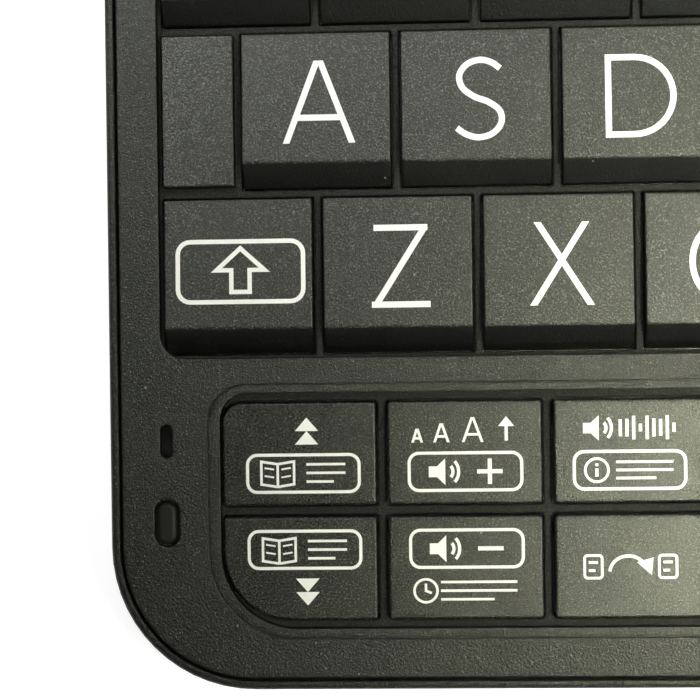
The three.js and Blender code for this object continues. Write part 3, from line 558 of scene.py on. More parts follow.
padLook = {
    **panelLook, "light": (0.110, 0.112, 0.102), "grain": 0.15, "relief": 0.15, "roughness": 0.29,
    "depth": 0.045, "balance": -0.5, "roughVary": 0.2,
}
fillerLook = {**keyLook, "roughness": 0.31, "balance": -0.2}
caseLook = {**panelLook, "edge": 0.12}
gridLook = {
    **panelLook, "dark": (0.010, 0.010, 0.009), "light": (0.045, 0.046, 0.042), "balance": 0.0,
    "roughness": 0.8, "specular": 0.25, "dustShare": 0.5, "dustStrength": 0.2, "scratch": 0.0,
}
panelPlastic = mouldedPlastic("panelPlastic", panelLook)
keyPlastic = mouldedPlastic("keyPlastic", keyLook)
padPlastic = mouldedPlastic("padPlastic", padLook)
fillerPlastic = mouldedPlastic("fillerPlastic", fillerLook)
casePlastic = mouldedPlastic("casePlastic", caseLook)
gridPlastic = mouldedPlastic("gridPlastic", gridLook)


# plain finish with a grain: ink, rubber, silicone, tin plate
def grainedFinish(name, look):
    look = {
        "stretch": (1, 1, 1), "mottle": 0.8, "bump": 0.3, "metallic": 0.0, "specular": 0.5, "tint": (1, 1, 1),
        "cloudShare": 0.6, "cloudRatio": 40, **look,
    }
    material, graph = newMaterial(name)
    place = objectPlace(graph)
    drawn = graph.add("Mapping", {"Vector": place, "Scale": look["stretch"]}, vector_type="POINT")
    grain = noise(graph, drawn, look["grain"], 3.0, 0.6)
    cloud = noise(graph, place, look["grain"] * look["cloudRatio"], 2.0)
    shade = (grain - 0.5) * look["mottle"] + (cloud - 0.5) * look["cloudShare"] + 0.5
    shader = graph.add("BsdfPrincipled", {
        "Base Color": graph.blendColour(shade, look["dark"], look["light"]),
        "Roughness": (grain - 0.5) * look["roughVary"] + look["roughness"],
        "Normal": bump(graph, look["bump"], look["depth"], grain), "Metallic": look["metallic"],
        "Specular IOR Level": look["specular"], "Specular Tint": (*look["tint"], 1),
    })
    closeMaterial(graph, shader)
    return material


legendInk = grainedFinish("legendInk", {
    "dark": (0.84, 0.84, 0.79), "light": (0.97, 0.97, 0.92), "grain": 0.2, "depth": 0.01,
    "roughness": 0.5, "roughVary": 0.1,
})
blackRubber = grainedFinish("blackRubber", {
    "dark": (0.001, 0.001, 0.001), "light": (0.013, 0.013, 0.011), "grain": 0.12, "mottle": 1.6, "bump": 0.5,
    "depth": 0.03, "roughness": 0.5, "roughVary": 0.2, "specular": 0.3, "tint": (1.0, 1.0, 0.86),
})
matSilicone = grainedFinish("matSilicone", {
    "dark": (0.26, 0.27, 0.28), "light": (0.38, 0.39, 0.40), "grain": 0.2, "depth": 0.02,
    "roughness": 0.6, "roughVary": 0.15,
})
platedSteel = grainedFinish("platedSteel", {
    "dark": (0.45, 0.45, 0.45), "light": (0.72, 0.72, 0.72), "grain": 0.1, "stretch": (0.05, 1, 1),
    "bump": 0.2, "depth": 0.005, "roughness": 0.28, "roughVary": 0.2, "metallic": 1.0,
})
pressedSheet = grainedFinish("pressedSheet", {
    "dark": (0.38, 0.39, 0.40), "light": (0.56, 0.57, 0.59), "grain": 0.3, "mottle": 0.6, "bump": 0.2,
    "stretch": (1, 0.04, 0.04), "depth": 0.01, "roughness": 0.38, "roughVary": 0.2, "metallic": 0.9,
})
print("common materials made")


# Keyboard panel

panelSizes = {
    "grid": 8.2, "edgeEase": 0.16, "wellEase": 0.1, "holeEase": 0.1, "wellSteps": 8,
    "bumperX": 69.05, "bumperY": -55.918, "bumperPocket": (2.19, 4.14), "bumperFloor": 8.6,
    "bedHalf": (2, 3), "bedDepth": 0.4,
    "microphone": (-69.05, -48.818, 1.05, 2.9),
    "speaker": (62.8, 7.962), "grilleSlots": 5, "grillePitch": 1.9, "grilleSlot": (0.9, 6.4),
}
functionWell = {
    "box": [-65.45, 65.45, -66.088, -43.888], "radii": [7.55, 7.55, 3.35, 3.35],
    "inner": [-64.33, 64.33, -65.2, -44.66], "innerRadii": [6.6, 6.6, 2.4, 2.4],
    "groove": 0.13, "grooveDepth": 0.2, "drop": 0.07, "draft": 0.02,
    "mouthEase": [(0, 0.08), (0.03, 0.02), (0.08, 0)],      # outward, and down from the ledge
    "ledgeEase": (0.06, 0.04), "rimEase": (0.06, 0.05),
}
letterWell = {"box": [-69.45, 69.45, -41.638, 1.362], "radii": [2.2] * 4}
shortcutWell = {"box": [-55.55, 55.45, 4.562, 12.162], "radii": [1.2] * 4}

keyNames = ["key_" + letter for letter in "qwertyuiopasdfghjklzxcvbnm"] + ["key_shift", "key_delete"]
functionNames = [
    "key_previous_entry", "key_next_entry", "key_volume_up", "key_volume_down", "key_speech", "key_jump",
    "key_back", "key_left", "key_up", "key_down", "key_right", "key_enter",
]
allKeys = keyNames + functionNames
flange = 0.3     # how far a cap's node reaches past its visible top
roundCorners = {
    "key_next_entry": [5.9, 0, 0, 0], "key_previous_entry": [0, 0, 0, 1.7], "key_enter": [0, 5.9, 1.7, 0],
}
shortcutSizes = {
    "count": 8, "pitch": 13.9, "width": 12.9, "margin": 0.4, "low": 6.6, "cornerSteps": 5,
    "arm": (1.6, 3.2, 0.5), "armPastCap": 1.0, "spineDepth": 1.0, "spineTop": 7.1,
}


# a cap's own box, inside the flange that its node has
def capBox(node):
    left, right, front, rear = cadBox(node)[:4]
    return [left + flange, right - flange, front + flange, rear - flange]


def cornerRadii(node, least):
    return [max(radius, least) for radius in roundCorners.get(node, [0] * 4)]


def shortcutBoxes():
    sizes = shortcutSizes
    left, _, front, rear = shortcutWell["box"]
    starts = [left + sizes["margin"] + sizes["pitch"] * i for i in range(sizes["count"])]
    return [[x, x + sizes["width"], front + sizes["margin"], rear - sizes["margin"]] for x in starts]


def grown(box, by):
    return [box[0] - by, box[1] + by, box[2] - by, box[3] + by]


def slotRing(x, y, width, length, inset=0.0, steps=10):
    box = [x - width / 2, x + width / 2, y - length / 2, y + length / 2]
    return cornered(box, [width / 2] * 4, inset, steps)


# the case's outline inside the lip, with the tongue that runs back to the barrel
def panelOutline(inset):
    edge = case["lip"] + case["partingGap"] + inset
    ring = cornered(caseBox, caseRadii, edge)
    half, tongueEnd = barrel["half"] - inset, axisY - barrel["toTongue"]
    rearLine = case["rear"] - edge
    perCorner = len(ring) // 4
    tongue = [(half, rearLine), (half, tongueEnd), (-half, tongueEnd), (-half, rearLine)]
    return ring[:3 * perCorner] + tongue + ring[3 * perCorner:]


def functionRings(grid, top):
    well = functionWell
    ledge, bottom = top - well["drop"], top - well["grooveDepth"]
    inside, below = well["ledgeEase"]
    outside, under = well["rimEase"]
    mouth = [(0, grid)] + [(-outward, ledge - down) for outward, down in well["mouthEase"]]
    groove = [
        (well["groove"] + inside, ledge), (well["groove"], ledge - below),
        (well["groove"] - well["draft"], bottom), (well["draft"], bottom), (0, top - under),
        (-outside, top), (-outside - flatBand, top),
    ]
    rings = [atHeight(cornered(well["inner"], well["innerRadii"], inset), z) for inset, z in mouth]
    return rings + [atHeight(cornered(well["box"], well["radii"], inset), z) for inset, z in groove]


def makePanel():
    sizes = panelSizes
    grid, top, ease = sizes["grid"], case["top"], sizes["holeEase"]
    stacks = [easedRings(panelOutline, grid, top, sizes["edgeEase"]), functionRings(grid, top)]
    for well in (letterWell, shortcutWell):
        mouth = lambda inset: cornered(well["box"], well["radii"], inset, sizes["wellSteps"])
        stacks.append(easedRings(mouth, grid, top, sizes["wellEase"], -1))
    for side in (-1, 1):
        place = side * sizes["bumperX"], sizes["bumperY"]
        pocket = lambda inset: slotRing(*place, *sizes["bumperPocket"], inset)
        stacks.append(easedRings(pocket, grid, top, ease, -1))
    microphone = lambda inset: slotRing(*sizes["microphone"], inset)
    stacks.append(easedRings(microphone, grid, top, ease, -1))
    for i in range(sizes["grilleSlots"]):
        x = sizes["speaker"][0] + (i - (sizes["grilleSlots"] - 1) / 2) * sizes["grillePitch"]
        grille = lambda inset: slotRing(x, sizes["speaker"][1], *sizes["grilleSlot"], inset, 6)
        stacks.append(easedRings(grille, grid, top, ease, -1, 2))
    shape = Shape().plate(stacks)
    for side in (-1, 1):
        x, y = side * sizes["bumperX"], sizes["bumperY"]
        u, v = sizes["bedHalf"]
        shape.block(x - u, x + u, y - v, y + v, grid - sizes["bedDepth"], sizes["bumperFloor"])
    panel = objectOf("keyboard_panel", shape, panelPlastic)
    carve(panel, "UNION", Shape().sector(
        barrel["inner"], barrel["radius"], barrel["coverEnd"], barrel["archEnd"],
        -barrel["half"], barrel["half"], barrel["ease"],
    ))
    finishPiece(panel, "base", "panel", "base_top_panel")


# the guide grid under the wells

gridSizes = {
    "under": 7.4, "lap": 0.01, "apron": 0.25, "margin": 1.2, "waist": -46.04,
    "clearance": 0.15, "holeEase": 0.1, "letterCorner": 0.15, "padCorner": 0.3, "largeCorner": 1,
}


def makeGrid():
    sizes = gridSizes
    apron = grown(functionWell["box"], sizes["apron"])
    letters = grown(letterWell["box"], sizes["margin"])
    row = grown(shortcutWell["box"], sizes["margin"])
    waist = sizes["waist"]
    outer = [
        (apron[0], apron[2]), (apron[1], apron[2]), (apron[1], waist), (letters[1], waist),
        (letters[1], letters[3]), (row[1], letters[3]), (row[1], row[3]), (row[0], row[3]),
        (row[0], letters[3]), (letters[0], letters[3]), (letters[0], waist), (apron[0], waist),
    ]
    under, lift, ease = sizes["under"], panelSizes["grid"] + sizes["lap"], sizes["holeEase"]
    stacks = [[atHeight(outer, under), atHeight(outer, lift)]]
    holes = [(capBox(name), [sizes["letterCorner"]] * 4) for name in keyNames]
    holes += [(capBox(name), cornerRadii(name, sizes["padCorner"])) for name in functionNames]
    holes += [(box, [sizes["padCorner"]] * 4) for box in shortcutBoxes()]
    for box, radii in holes:
        wide = grown(box, sizes["clearance"])
        steps = 8 if max(radii) > sizes["largeCorner"] else 2
        stacks.append([
            atHeight(cornered(wide, radii, inset, steps), z)
            for inset, z in ((0, under), (0, lift - ease), (-ease, lift))
        ])
    finishPiece(objectOf("guide_grid", Shape().plate(stacks), gridPlastic), "base", "panel")


# plain blocks that fill the half columns beside the middle row, as satin as the keys

fillerSizes = {"side": 0.33, "gap": 0.65, "front": 0.17, "corner": 0.25, "low": 7.8, "top": 9.2, "ease": 0.22}


def makeFillers():
    sizes = fillerSizes
    shape = Shape()
    first, last, well = capBox("key_a"), capBox("key_l"), letterWell["box"]
    for left, right in (
        (well[0] + sizes["side"], first[0] - sizes["gap"]), (last[1] + sizes["gap"], well[1] - sizes["side"]),
    ):
        box = [left, right, first[2] + sizes["front"], first[3]]
        ring = lambda inset: cornered(box, [sizes["corner"]] * 4, inset, 3)
        shape.loft(easedRings(ring, sizes["low"], sizes["top"], sizes["ease"]))
    finishPiece(objectOf("panel_fillers", shape, fillerPlastic), "base", "panel")


makePanel()
makeGrid()
makeFillers()
print("keyboard panel made")


# Lower case

lowerSizes = {
    "lipEase": 0.1, "bayGap": 0.3, "endLap": 0.3,
    "postInset": 5.6, "postFromFront": 10.5, "rearPostInset": 4.3, "headHole": 1.6, "headDepth": 0.8,
    "footWidth": 4.2, "footClearance": 0.3, "footPocket": 0.4,
    "jackFromAxis": 20.2, "jackHeight": 4.5, "jackRadius": 1.8,
    "socketPlace": (-51.518, 4.3), "socketWidth": 7.6, "socketHeight": 2.6, "socketGap": 0.3,
}
screwPlaces = [
    (side * (case["half"] - lowerSizes[inset]), y)
    for inset, y in (
        ("postInset", case["front"] + lowerSizes["postFromFront"]),
        ("rearPostInset", case["rear"] - lowerSizes["rearPostInset"]),
    )
    for side in (-1, 1)
]
footNames = ["rubber_foot_front", "rubber_foot_rear"]


# the battery bay: the barrel's lower front wall, its ends, and the room for the cells
def makeBay(piece):
    sizes = lowerSizes
    half, inner, radius, endWall = barrel["half"], barrel["inner"], barrel["radius"], barrel["endWall"]
    gap, bayFront = sizes["bayGap"], case["rear"] - case["wall"]
    carve(piece, "UNION", Shape().block(-half, half, bayFront, axisY, case["under"], case["ledge"]))
    carve(piece, "DIFFERENCE", Shape().block(
        -half - gap, half + gap, bayFront - gap, axisY + overrun, case["ledge"], case["top"] + overrun,
    ))
    start = barrel["archEnd"] + barrel["gapDegrees"]
    end = 360 + barrel["coverEnd"] - barrel["gapDegrees"]
    coverEdge = barrel["coverHalf"] + barrel["coverGap"]
    for side in (-1, 1):
        carve(
            piece, "UNION", Shape().sector(inner, radius, start, end, *span(side, coverEdge, half)),
            Shape().sector(inner / 2, radius, start, end, *span(side, half - endWall, half)),
            Shape().drum(inner - sizes["endLap"], *span(side, half - endWall, half)),
        )
    carve(
        piece, "DIFFERENCE", Shape().drum(inner, -half + endWall, half - endWall),
        Shape().sector(
            inner / 2, radius + overrun, barrel["coverStart"] - barrel["gapDegrees"], barrel["coverEnd"],
            -coverEdge, coverEdge,
        ),
        Shape().drum(barrel["pinHole"], -half - overrun, half + overrun, steps=32),
    )


def makeLowerCase():
    sizes = lowerSizes
    top, under, wall, lip, ease = case["top"], case["under"], case["wall"], case["lip"], case["rimEase"]
    profile = [
        (case["turnInset"] * missing, under + case["turnHeight"] * gained) for gained, missing in quarter(8)
    ]
    profile += [(ease * gained, top - ease * missing) for gained, missing in quarter(4)]
    profile += [
        (lip - sizes["lipEase"], top), (lip, top - sizes["lipEase"]), (lip, case["ledge"]),
        (wall, case["ledge"]), (wall, case["floorTop"]),
    ]
    rings = [atHeight(cornered(caseBox, caseRadii, inset), z) for inset, z in profile]
    piece = objectOf("lower_case", Shape().loft(rings), casePlastic)
    makeBay(piece)
    for x, y in screwPlaces:
        depth = under + sizes["headDepth"]
        carve(piece, "DIFFERENCE", Shape().post(sizes["headHole"], x, y, -overrun, depth))
    for name in footNames:
        gap = sizes["footClearance"]
        ring = cornered(grown(cadBox(name)[:4], gap), [sizes["footWidth"] / 2 + gap] * 4)
        carve(piece, "DIFFERENCE", Shape().loft([
            atHeight(ring, -overrun), atHeight(ring, under + sizes["footPocket"]),
        ]))
    carve(piece, "DIFFERENCE", Shape().drum(
        sizes["jackRadius"], -case["half"] - overrun, -case["half"] + wall + overrun,
        axisY - sizes["jackFromAxis"], sizes["jackHeight"], 32,
    ))
    y, z = sizes["socketPlace"]
    gap = sizes["socketGap"]
    reach, rise = sizes["socketWidth"] / 2 + gap, sizes["socketHeight"] + gap
    mouth = [(-reach, -gap), (reach, -gap), (reach, rise), (-reach, rise)]
    carve(piece, "DIFFERENCE", Shape().loft([
        [(x, y + u, z + v) for u, v in mouth] for x in (case["half"] - wall - overrun, case["half"] + overrun)
    ]))
    finishPiece(piece, "base", "case", "base_lower_case")


# Rubber feet and pads

padSizes = {"footEase": 0.3, "crown": 0.45}


def makePads():
    for name in footNames:
        left, right, front, rear, low, high = cadBox(name)
        outline = lambda inset: cornered([left, right, front, rear], [(rear - front) / 2] * 4, inset, 10)
        ease = padSizes["footEase"]
        rings = [atHeight(outline(ease * missing), low + ease * gained) for gained, missing in quarter(3)]
        shape = Shape().loft(rings + [atHeight(outline(0), high)])
        foot = objectOf("foot_" + name.split("_")[-1], shape, blackRubber)
        finishPiece(foot, "base", "rubber", name)
    for side in ("left", "right"):
        left, right, front, rear, low, high = cadBox("bumper_" + side)
        outline = lambda inset: cornered([left, right, front, rear], [(right - left) / 2] * 4, inset, 12)
        crown = padSizes["crown"]
        rings = [atHeight(outline(crown * gained), high - crown * missing) for gained, missing in quarter(6)]
        pad = objectOf("pad_" + side, Shape().loft([atHeight(outline(0), low)] + rings), blackRubber)
        finishPiece(pad, "base", "rubber", "bumper_" + side)


makeLowerCase()
makePads()
print("lower case, feet and pads made")


# Battery cover, with its finger ribs by nodes

coverSizes = {
    "ease": 0.15, "ribs": 2, "ribPitch": 3.2, "ribLength": 14.0, "ribWidth": 0.8, "ribHeight": 1.1,
    "ribRise": 0.35, "ribEdge": {"width": 0.2, "segments": 3, "limit": 40},
}


def fingerRibs(graph, given):
    bar = graph.box(given["Length"], given["Height"], given["Width"])
    bearing = (graph.add("InputIndex") - (given["Count"] - 1) * 0.5) * given["Pitch"]
    reach = given["Radius"] - given["Height"] * 0.5
    points = graph.add("MeshLine", {"Count": given["Count"]})
    place = graph.vector(0.0, bearing.math("COSINE") * reach, bearing.math("SINE") * reach)
    spread = graph.add("SetPosition", {0: points, 2: place})
    ribs = graph.add("InstanceOnPoints", {0: spread, 2: bar, 5: graph.vector(bearing, 0.0, 0.0)})
    return graph.moved(ribs, (0, axisY * mm, axisZ * mm))


def makeCover():
    sizes = coverSizes
    cover = objectOf("bay_cover", Shape().sector(
        barrel["inner"], barrel["radius"], barrel["coverStart"], barrel["coverEnd"] - barrel["gapDegrees"],
        -barrel["coverHalf"], barrel["coverHalf"], sizes["ease"],
    ), casePlastic)
    ribs = grow("ribs", fingerRibs, {
        "Count": sizes["ribs"], "Pitch": sizes["ribPitch"] / barrel["radius"] / mm,
        "Length": sizes["ribLength"], "Width": sizes["ribWidth"], "Height": sizes["ribHeight"],
        "Radius": barrel["radius"] + sizes["ribRise"],
    }, casePlastic, sizes["ribEdge"])
    join(cover, ribs)
    finishPiece(cover, "battery_cover", "case", "battery_cover")


makeCover()
print("battery cover made")


# Key caps, by nodes

keySizes = {
    "low": 6.8, "ridge": 9.5, "ridgeFromFront": 2.2, "rearTop": 9.0, "frontTop": 8.1,
    "flangeLow": 6.5, "flangeHigh": 7.1, "edge": {"width": 0.18, "segments": 3, "limit": 30},
    "padTop": 9.3, "padCorner": 0.35, "cornerSteps": 10,
    "padEdge": {"width": 0.22, "segments": 3, "limit": 50},
}
cornerLabels = ["Front Left", "Front Right", "Rear Right", "Rear Left"]


def letterCap(graph, given):
    half = given["Depth"] * 0.5
    section = graph.loop([
        (-half, given["Low"]), (half, given["Low"]), (half, given["Rear Top"]),
        (given["Ridge From Front"] - half, given["Ridge"]), (-half, given["Front Top"]),
    ])
    lying = graph.prism(section, given["Width"])
    u, v, w = graph.parts(graph.add("InputPosition"))
    stood = graph.add("SetPosition", {0: lying, 2: graph.vector(w - given["Width"] * 0.5, u, v)})
    # the retaining flange under the cap
    low, high = given["Flange Low"], given["Flange High"]
    reach = given["Flange"] * 2.0
    foot = graph.box(given["Width"] + reach, given["Depth"] + reach, high - low)
    joined = graph.add("JoinGeometry", {0: [stood, graph.raised(foot, (low + high) * 0.5)]})
    return graph.moved(joined, given["Centre"])


def functionCap(graph, given):
    halfX, halfY = given["Width"] * 0.5, given["Depth"] * 0.5
    outline = graph.loop([(-halfX, -halfY), (halfX, -halfY), (halfX, halfY), (-halfX, halfY)])
    radius = graph.byIndex("FLOAT", [given[label] for label in cornerLabels])
    outline = graph.rounded(outline, radius, keySizes["cornerSteps"])
    cap = graph.prism(outline, given["Top"] - given["Low"])
    return graph.moved(graph.raised(cap, given["Low"]), given["Centre"])


def centreOf(box, height=0):
    return Vector(((box[0] + box[1]) / 2, (box[2] + box[3]) / 2, height))


def makeKeys():
    sizes = keySizes
    for name in allKeys:
        box = capBox(name)
        given = {
            "Width": box[1] - box[0], "Depth": box[3] - box[2], "Low": sizes["low"],
            "Centre": centreOf(box),
        }
        if name in keyNames:
            shape, material, edge = letterCap, keyPlastic, sizes["edge"]
            given.update({
                "Ridge": sizes["ridge"], "Ridge From Front": sizes["ridgeFromFront"],
                "Rear Top": sizes["rearTop"], "Front Top": sizes["frontTop"], "Flange": flange,
                "Flange Low": sizes["flangeLow"], "Flange High": sizes["flangeHigh"],
            })
        else:
            shape, material, edge = functionCap, padPlastic, sizes["padEdge"]
            radii = cornerRadii(name, sizes["padCorner"])
            given.update({"Top": sizes["padTop"], **dict(zip(cornerLabels, radii))})
        cap = grow(name.replace("key_", "cap_"), shape, given, material, edge)
        finishPiece(cap, name, "keys", name)


makeKeys()
print("key caps made:", len(allKeys))


# Screws in the counterbores, by nodes

screwSizes = {
    "Radius": 1.4, "Height": 0.5, "Recess": 0.35, "Slot": 0.42,
    "top": 1.4, "edge": {"width": 0.12, "segments": 2, "limit": 30, "harden": False},
    "sides": 32, "crossShare": 1.1, "mostTurn": 1.5, "seed": 7,
}


# round heads with a cross recess, each turned its own way
def screwHeads(graph, given):
    sizes = screwSizes
    sockets = {"Vertices": sizes["sides"], "Radius": given["Radius"], "Depth": given["Height"]}
    screw = graph.add("MeshCylinder", sockets)
    length, depth = given["Radius"] * sizes["crossShare"], given["Recess"] * 2.0
    for width, across in ((length, given["Slot"]), (given["Slot"], length)):
        bar = graph.raised(graph.box(width, across, depth), given["Height"] * -0.5)
        screw = graph.add("MeshBoolean", {0: screw, 1: bar}, operation="DIFFERENCE", solver="MANIFOLD")
    sockets = {2: 0.0, 3: sizes["mostTurn"], "Seed": sizes["seed"]}
    turned = graph.add("FunctionNodeRandomValue", sockets, 1, data_type="FLOAT")
    return graph.add("InstanceOnPoints", {0: given["Points"], 2: screw, 5: graph.vector(0.0, 0.0, turned)})


def makeScrews():
    sizes = screwSizes
    points = bpy.data.meshes.new("screwPoints")
    middle = sizes["top"] - sizes["Height"] / 2
    points.from_pydata([(x * mm, y * mm, middle * mm) for x, y in screwPlaces], [], [])
    given = {label: sizes[label] for label in ("Radius", "Height", "Recess", "Slot")}
    screws = grow("case_screws", screwHeads, given, platedSteel, sizes["edge"], points, 25)
    finishPiece(screws, "base", "steel")


makeScrews()
print("screws made")


# Silicone mat: a web, and under every cap a dome

matSizes = {
    "under": 4.6, "top": 5.1, "step": -44.588,
    "edge": {"width": 0.12, "segments": 2, "limit": 30, "harden": False},
    "radius": 2.6, "topRadius": 1.7, "seat": 0.25, "crown": 0.3, "domeTop": 6.2, "pressed": 0.5,
    "domeEdge": {"width": 0.1, "segments": 2, "limit": 40},
}


def siliconeDome(graph, given):
    skirtTop, skirtFoot, steps = 0.94, 0.86, 28    # the skirt's ends, as shares of the two radii

    def disc(radius, low, high):
        body = graph.add("MeshCylinder", {"Vertices": steps, "Radius": radius, "Depth": high - low})
        return graph.raised(body, (low + high) * 0.5)

    seat = disc(given["Radius"], 0.0, given["Seat"])
    crown = disc(given["Top Radius"], given["Height"] - given["Crown"], given["Height"])
    skirt = graph.add("MeshCone", {
        "Vertices": steps, "Radius Top": given["Top Radius"] * skirtTop,
        "Radius Bottom": given["Radius"] * skirtFoot, "Depth": given["Height"] - given["Crown"] * 0.5,
    })
    return graph.moved(graph.add("JoinGeometry", {0: [seat, skirt, crown]}), given["Centre"])


def makeMat():
    sizes = matSizes
    left, right, front, rear = cadBox("key_mat")[:4]
    narrow, step = capBox("key_next_entry")[0], sizes["step"]
    plan = [
        (narrow, front), (-narrow, front), (-narrow, step), (right, step), (right, rear), (left, rear),
        (left, step), (narrow, step),
    ]
    shape = Shape().loft([atHeight(plan, sizes["under"]), atHeight(plan, sizes["top"])])
    web = objectOf("mat_web", shape, matSilicone)
    bevelEdges(web, sizes["edge"])
    settle(web)
    finishPiece(web, "base", "silicone", "key_mat")
    for name in allKeys:
        centre = centreOf(capBox(name), sizes["top"])
        dome = grow(name.replace("key_", "dome_"), siliconeDome, {
            "Radius": sizes["radius"], "Top Radius": sizes["topRadius"], "Seat": sizes["seat"],
            "Crown": sizes["crown"], "Height": sizes["domeTop"] - sizes["top"], "Centre": centre,
        }, matSilicone, sizes["domeEdge"])
        finishPiece(dome, "base", "silicone")
        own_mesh(dome)


makeMat()
print("silicone mat made")


# Shortcut keys: eight caps in a row, by nodes, on their thin arms and common spine

def capRow(graph, given):
    sizes = shortcutSizes
    plan = graph.add("CurvePrimitiveQuadrilateral", {0: given["Width"], 1: given["Depth"]}, mode="RECTANGLE")
    cap = graph.prism(graph.rounded(plan, given["Radius"], sizes["cornerSteps"]), given["Height"])
    width, length, thickness = (size * mm for size in sizes["arm"])
    past = given["Depth"] * 0.5 + sizes["armPastCap"] * mm
    arm = graph.moved(graph.box(width, length, thickness), graph.vector(0.0, past, thickness / 2))
    one = graph.add("JoinGeometry", {0: [cap, arm]})
    points = graph.add("MeshLine", {
        "Count": given["Count"], "Start Location": given["Start"],
        "Offset": graph.vector(given["Pitch"], 0.0, 0.0),
    }, mode="OFFSET")
    return graph.add("InstanceOnPoints", {0: points, 2: one})


def makeShortcuts():
    sizes = shortcutSizes
    boxes = shortcutBoxes()
    first, last, low = boxes[0], boxes[-1], sizes["low"]
    row = grow("shortcut_row", capRow, {
        "Count": len(boxes), "Pitch": sizes["pitch"], "Width": first[1] - first[0],
        "Depth": first[3] - first[2], "Height": keySizes["padTop"] - low, "Radius": keySizes["padCorner"],
        "Start": centreOf(first, low),
    }, padPlastic, keySizes["padEdge"])
    spineFront = shortcutWell["box"][3]
    join(row, objectOf("spine", Shape().block(
        first[0], last[1], spineFront, spineFront + sizes["spineDepth"], low, sizes["spineTop"],
    ), padPlastic))
    finishPiece(row, "base", "keys", "shortcut_keys")


makeShortcuts()
print("shortcut keys made")


# Lid, shaped closed about the hinge axis and turned open

lidSizes = {
    "face": 0.1, "back": 6.0, "plate": 1.2, "edgeInset": 1.9, "edgeHeight": 2.1, "bezel": 1.2, "gap": 0.3,
    "lipEase": 0.08, "earInner": 57.5, "earEdge": 1.0, "earEase": 0.25, "webTop": 5.2, "boreEnd": 65.7,
    "windowHalf": 59.0, "windowFront": 8.2, "windowRear": 11.4, "windowRadius": 1.8, "windowBevel": 0.8,
    "frameEase": 0.12, "mouthEase": (0.08, 0.06), "mouthFoot": (0.05, 0.12),
}
lidPlace = Matrix.Translation(Vector((0, axisY, axisZ)) * mm) @ Matrix.Rotation(lidTurn, 4, "X")
lidBox = [-case["half"], case["half"], case["front"] - axisY, case["rear"] - axisY]
window = [
    -lidSizes["windowHalf"], lidSizes["windowHalf"],
    lidBox[2] + lidSizes["windowFront"], lidBox[3] - lidSizes["windowRear"],
]


# an ear that carries a hinge pin, with the web that joins it to the shell
def addEar(shell, side):
    sizes = lidSizes
    inner, outer, edge, radius = sizes["earInner"], case["half"], sizes["earEdge"], barrel["radius"]
    ends = [(inner, sizes["earEase"]), (inner + sizes["earEase"], 0)]
    ends += [(outer - edge * missing, edge * gained) for gained, missing in quarter(6)]
    rings = [
        [(side * x, (radius - drop) * math.cos(turn), (radius - drop) * math.sin(turn)) for turn in turns(72)]
        for x, drop in ends
    ]
    left, right = span(side, inner, outer - edge)
    web = Shape().block(left, right, lidBox[3] - case["wall"] / 2, 0, sizes["face"], sizes["webTop"])
    bore = Shape().drum(barrel["pinHole"], *span(side, inner - overrun, sizes["boreEnd"]), 0, 0, 32)
    carve(shell, "UNION", Shape().loft(rings), web)
    carve(shell, "DIFFERENCE", bore)


def makeLid():
    sizes = lidSizes
    face, back, wall, lip, ease = sizes["face"], sizes["back"], case["wall"], case["lip"], case["rimEase"]
    frameBack = face + sizes["bezel"]
    recess = frameBack + sizes["gap"]
    profile = [
        (wall, back - sizes["plate"]), (wall, recess), (lip, recess), (lip, face + sizes["lipEase"]),
        (lip - sizes["lipEase"], face),
    ]
    profile += [(ease * missing, face + ease * gained) for gained, missing in quarter(4)]
    profile += [
        (sizes["edgeInset"] * gained, back - sizes["edgeHeight"] * missing) for gained, missing in quarter(8)
    ]
    rings = [atHeight(cornered(lidBox, caseRadii, inset), z) for inset, z in profile]
    shell = objectOf("lid_cover", Shape().loft(rings), casePlastic)
    for side in (-1, 1):
        addEar(shell, side)
    shell.data.transform(lidPlace)
    finishPiece(shell, "lid", "case", "lid_shell")

    ease, bevel = sizes["frameEase"], sizes["windowBevel"]
    (outward, down), (lap, rise) = sizes["mouthEase"], sizes["mouthFoot"]
    outer = [(ease, face), (ease * 0.3, face + ease * 0.3), (0, face + ease), (0, frameBack)]
    mouth = [
        (-bevel - outward, face), (outward - bevel, face + down), (-lap, frameBack - rise), (0, frameBack),
    ]
    edge = lip + case["partingGap"]
    stacks = [
        [atHeight(cornered(lidBox, caseRadii, edge + inset), z) for inset, z in outer],
        [atHeight(cornered(window, [sizes["windowRadius"]] * 4, inset, 8), z) for inset, z in mouth],
    ]
    bezel = objectOf("lid_frame", Shape().plate(stacks), panelPlastic, lidPlace)
    finishPiece(bezel, "lid", "panel", "lid_bezel")


makeLid()
print("lid made")


# Finishes of the nodes that show their own solids

cellLook = {
    "jacket": (0.62, 0.64, 0.65), "band": (0.03, 0.035, 0.04), "metal": (0.6, 0.6, 0.6),
    "worn": (0.3, 0.3, 0.3), "bandLength": 14.0, "gap": 0.3, "sag": 0.3, "jacketRadius": 6.6, "grain": 0.3,
    "wear": 0.3, "roughness": 0.3, "roughVary": 0.1,
}


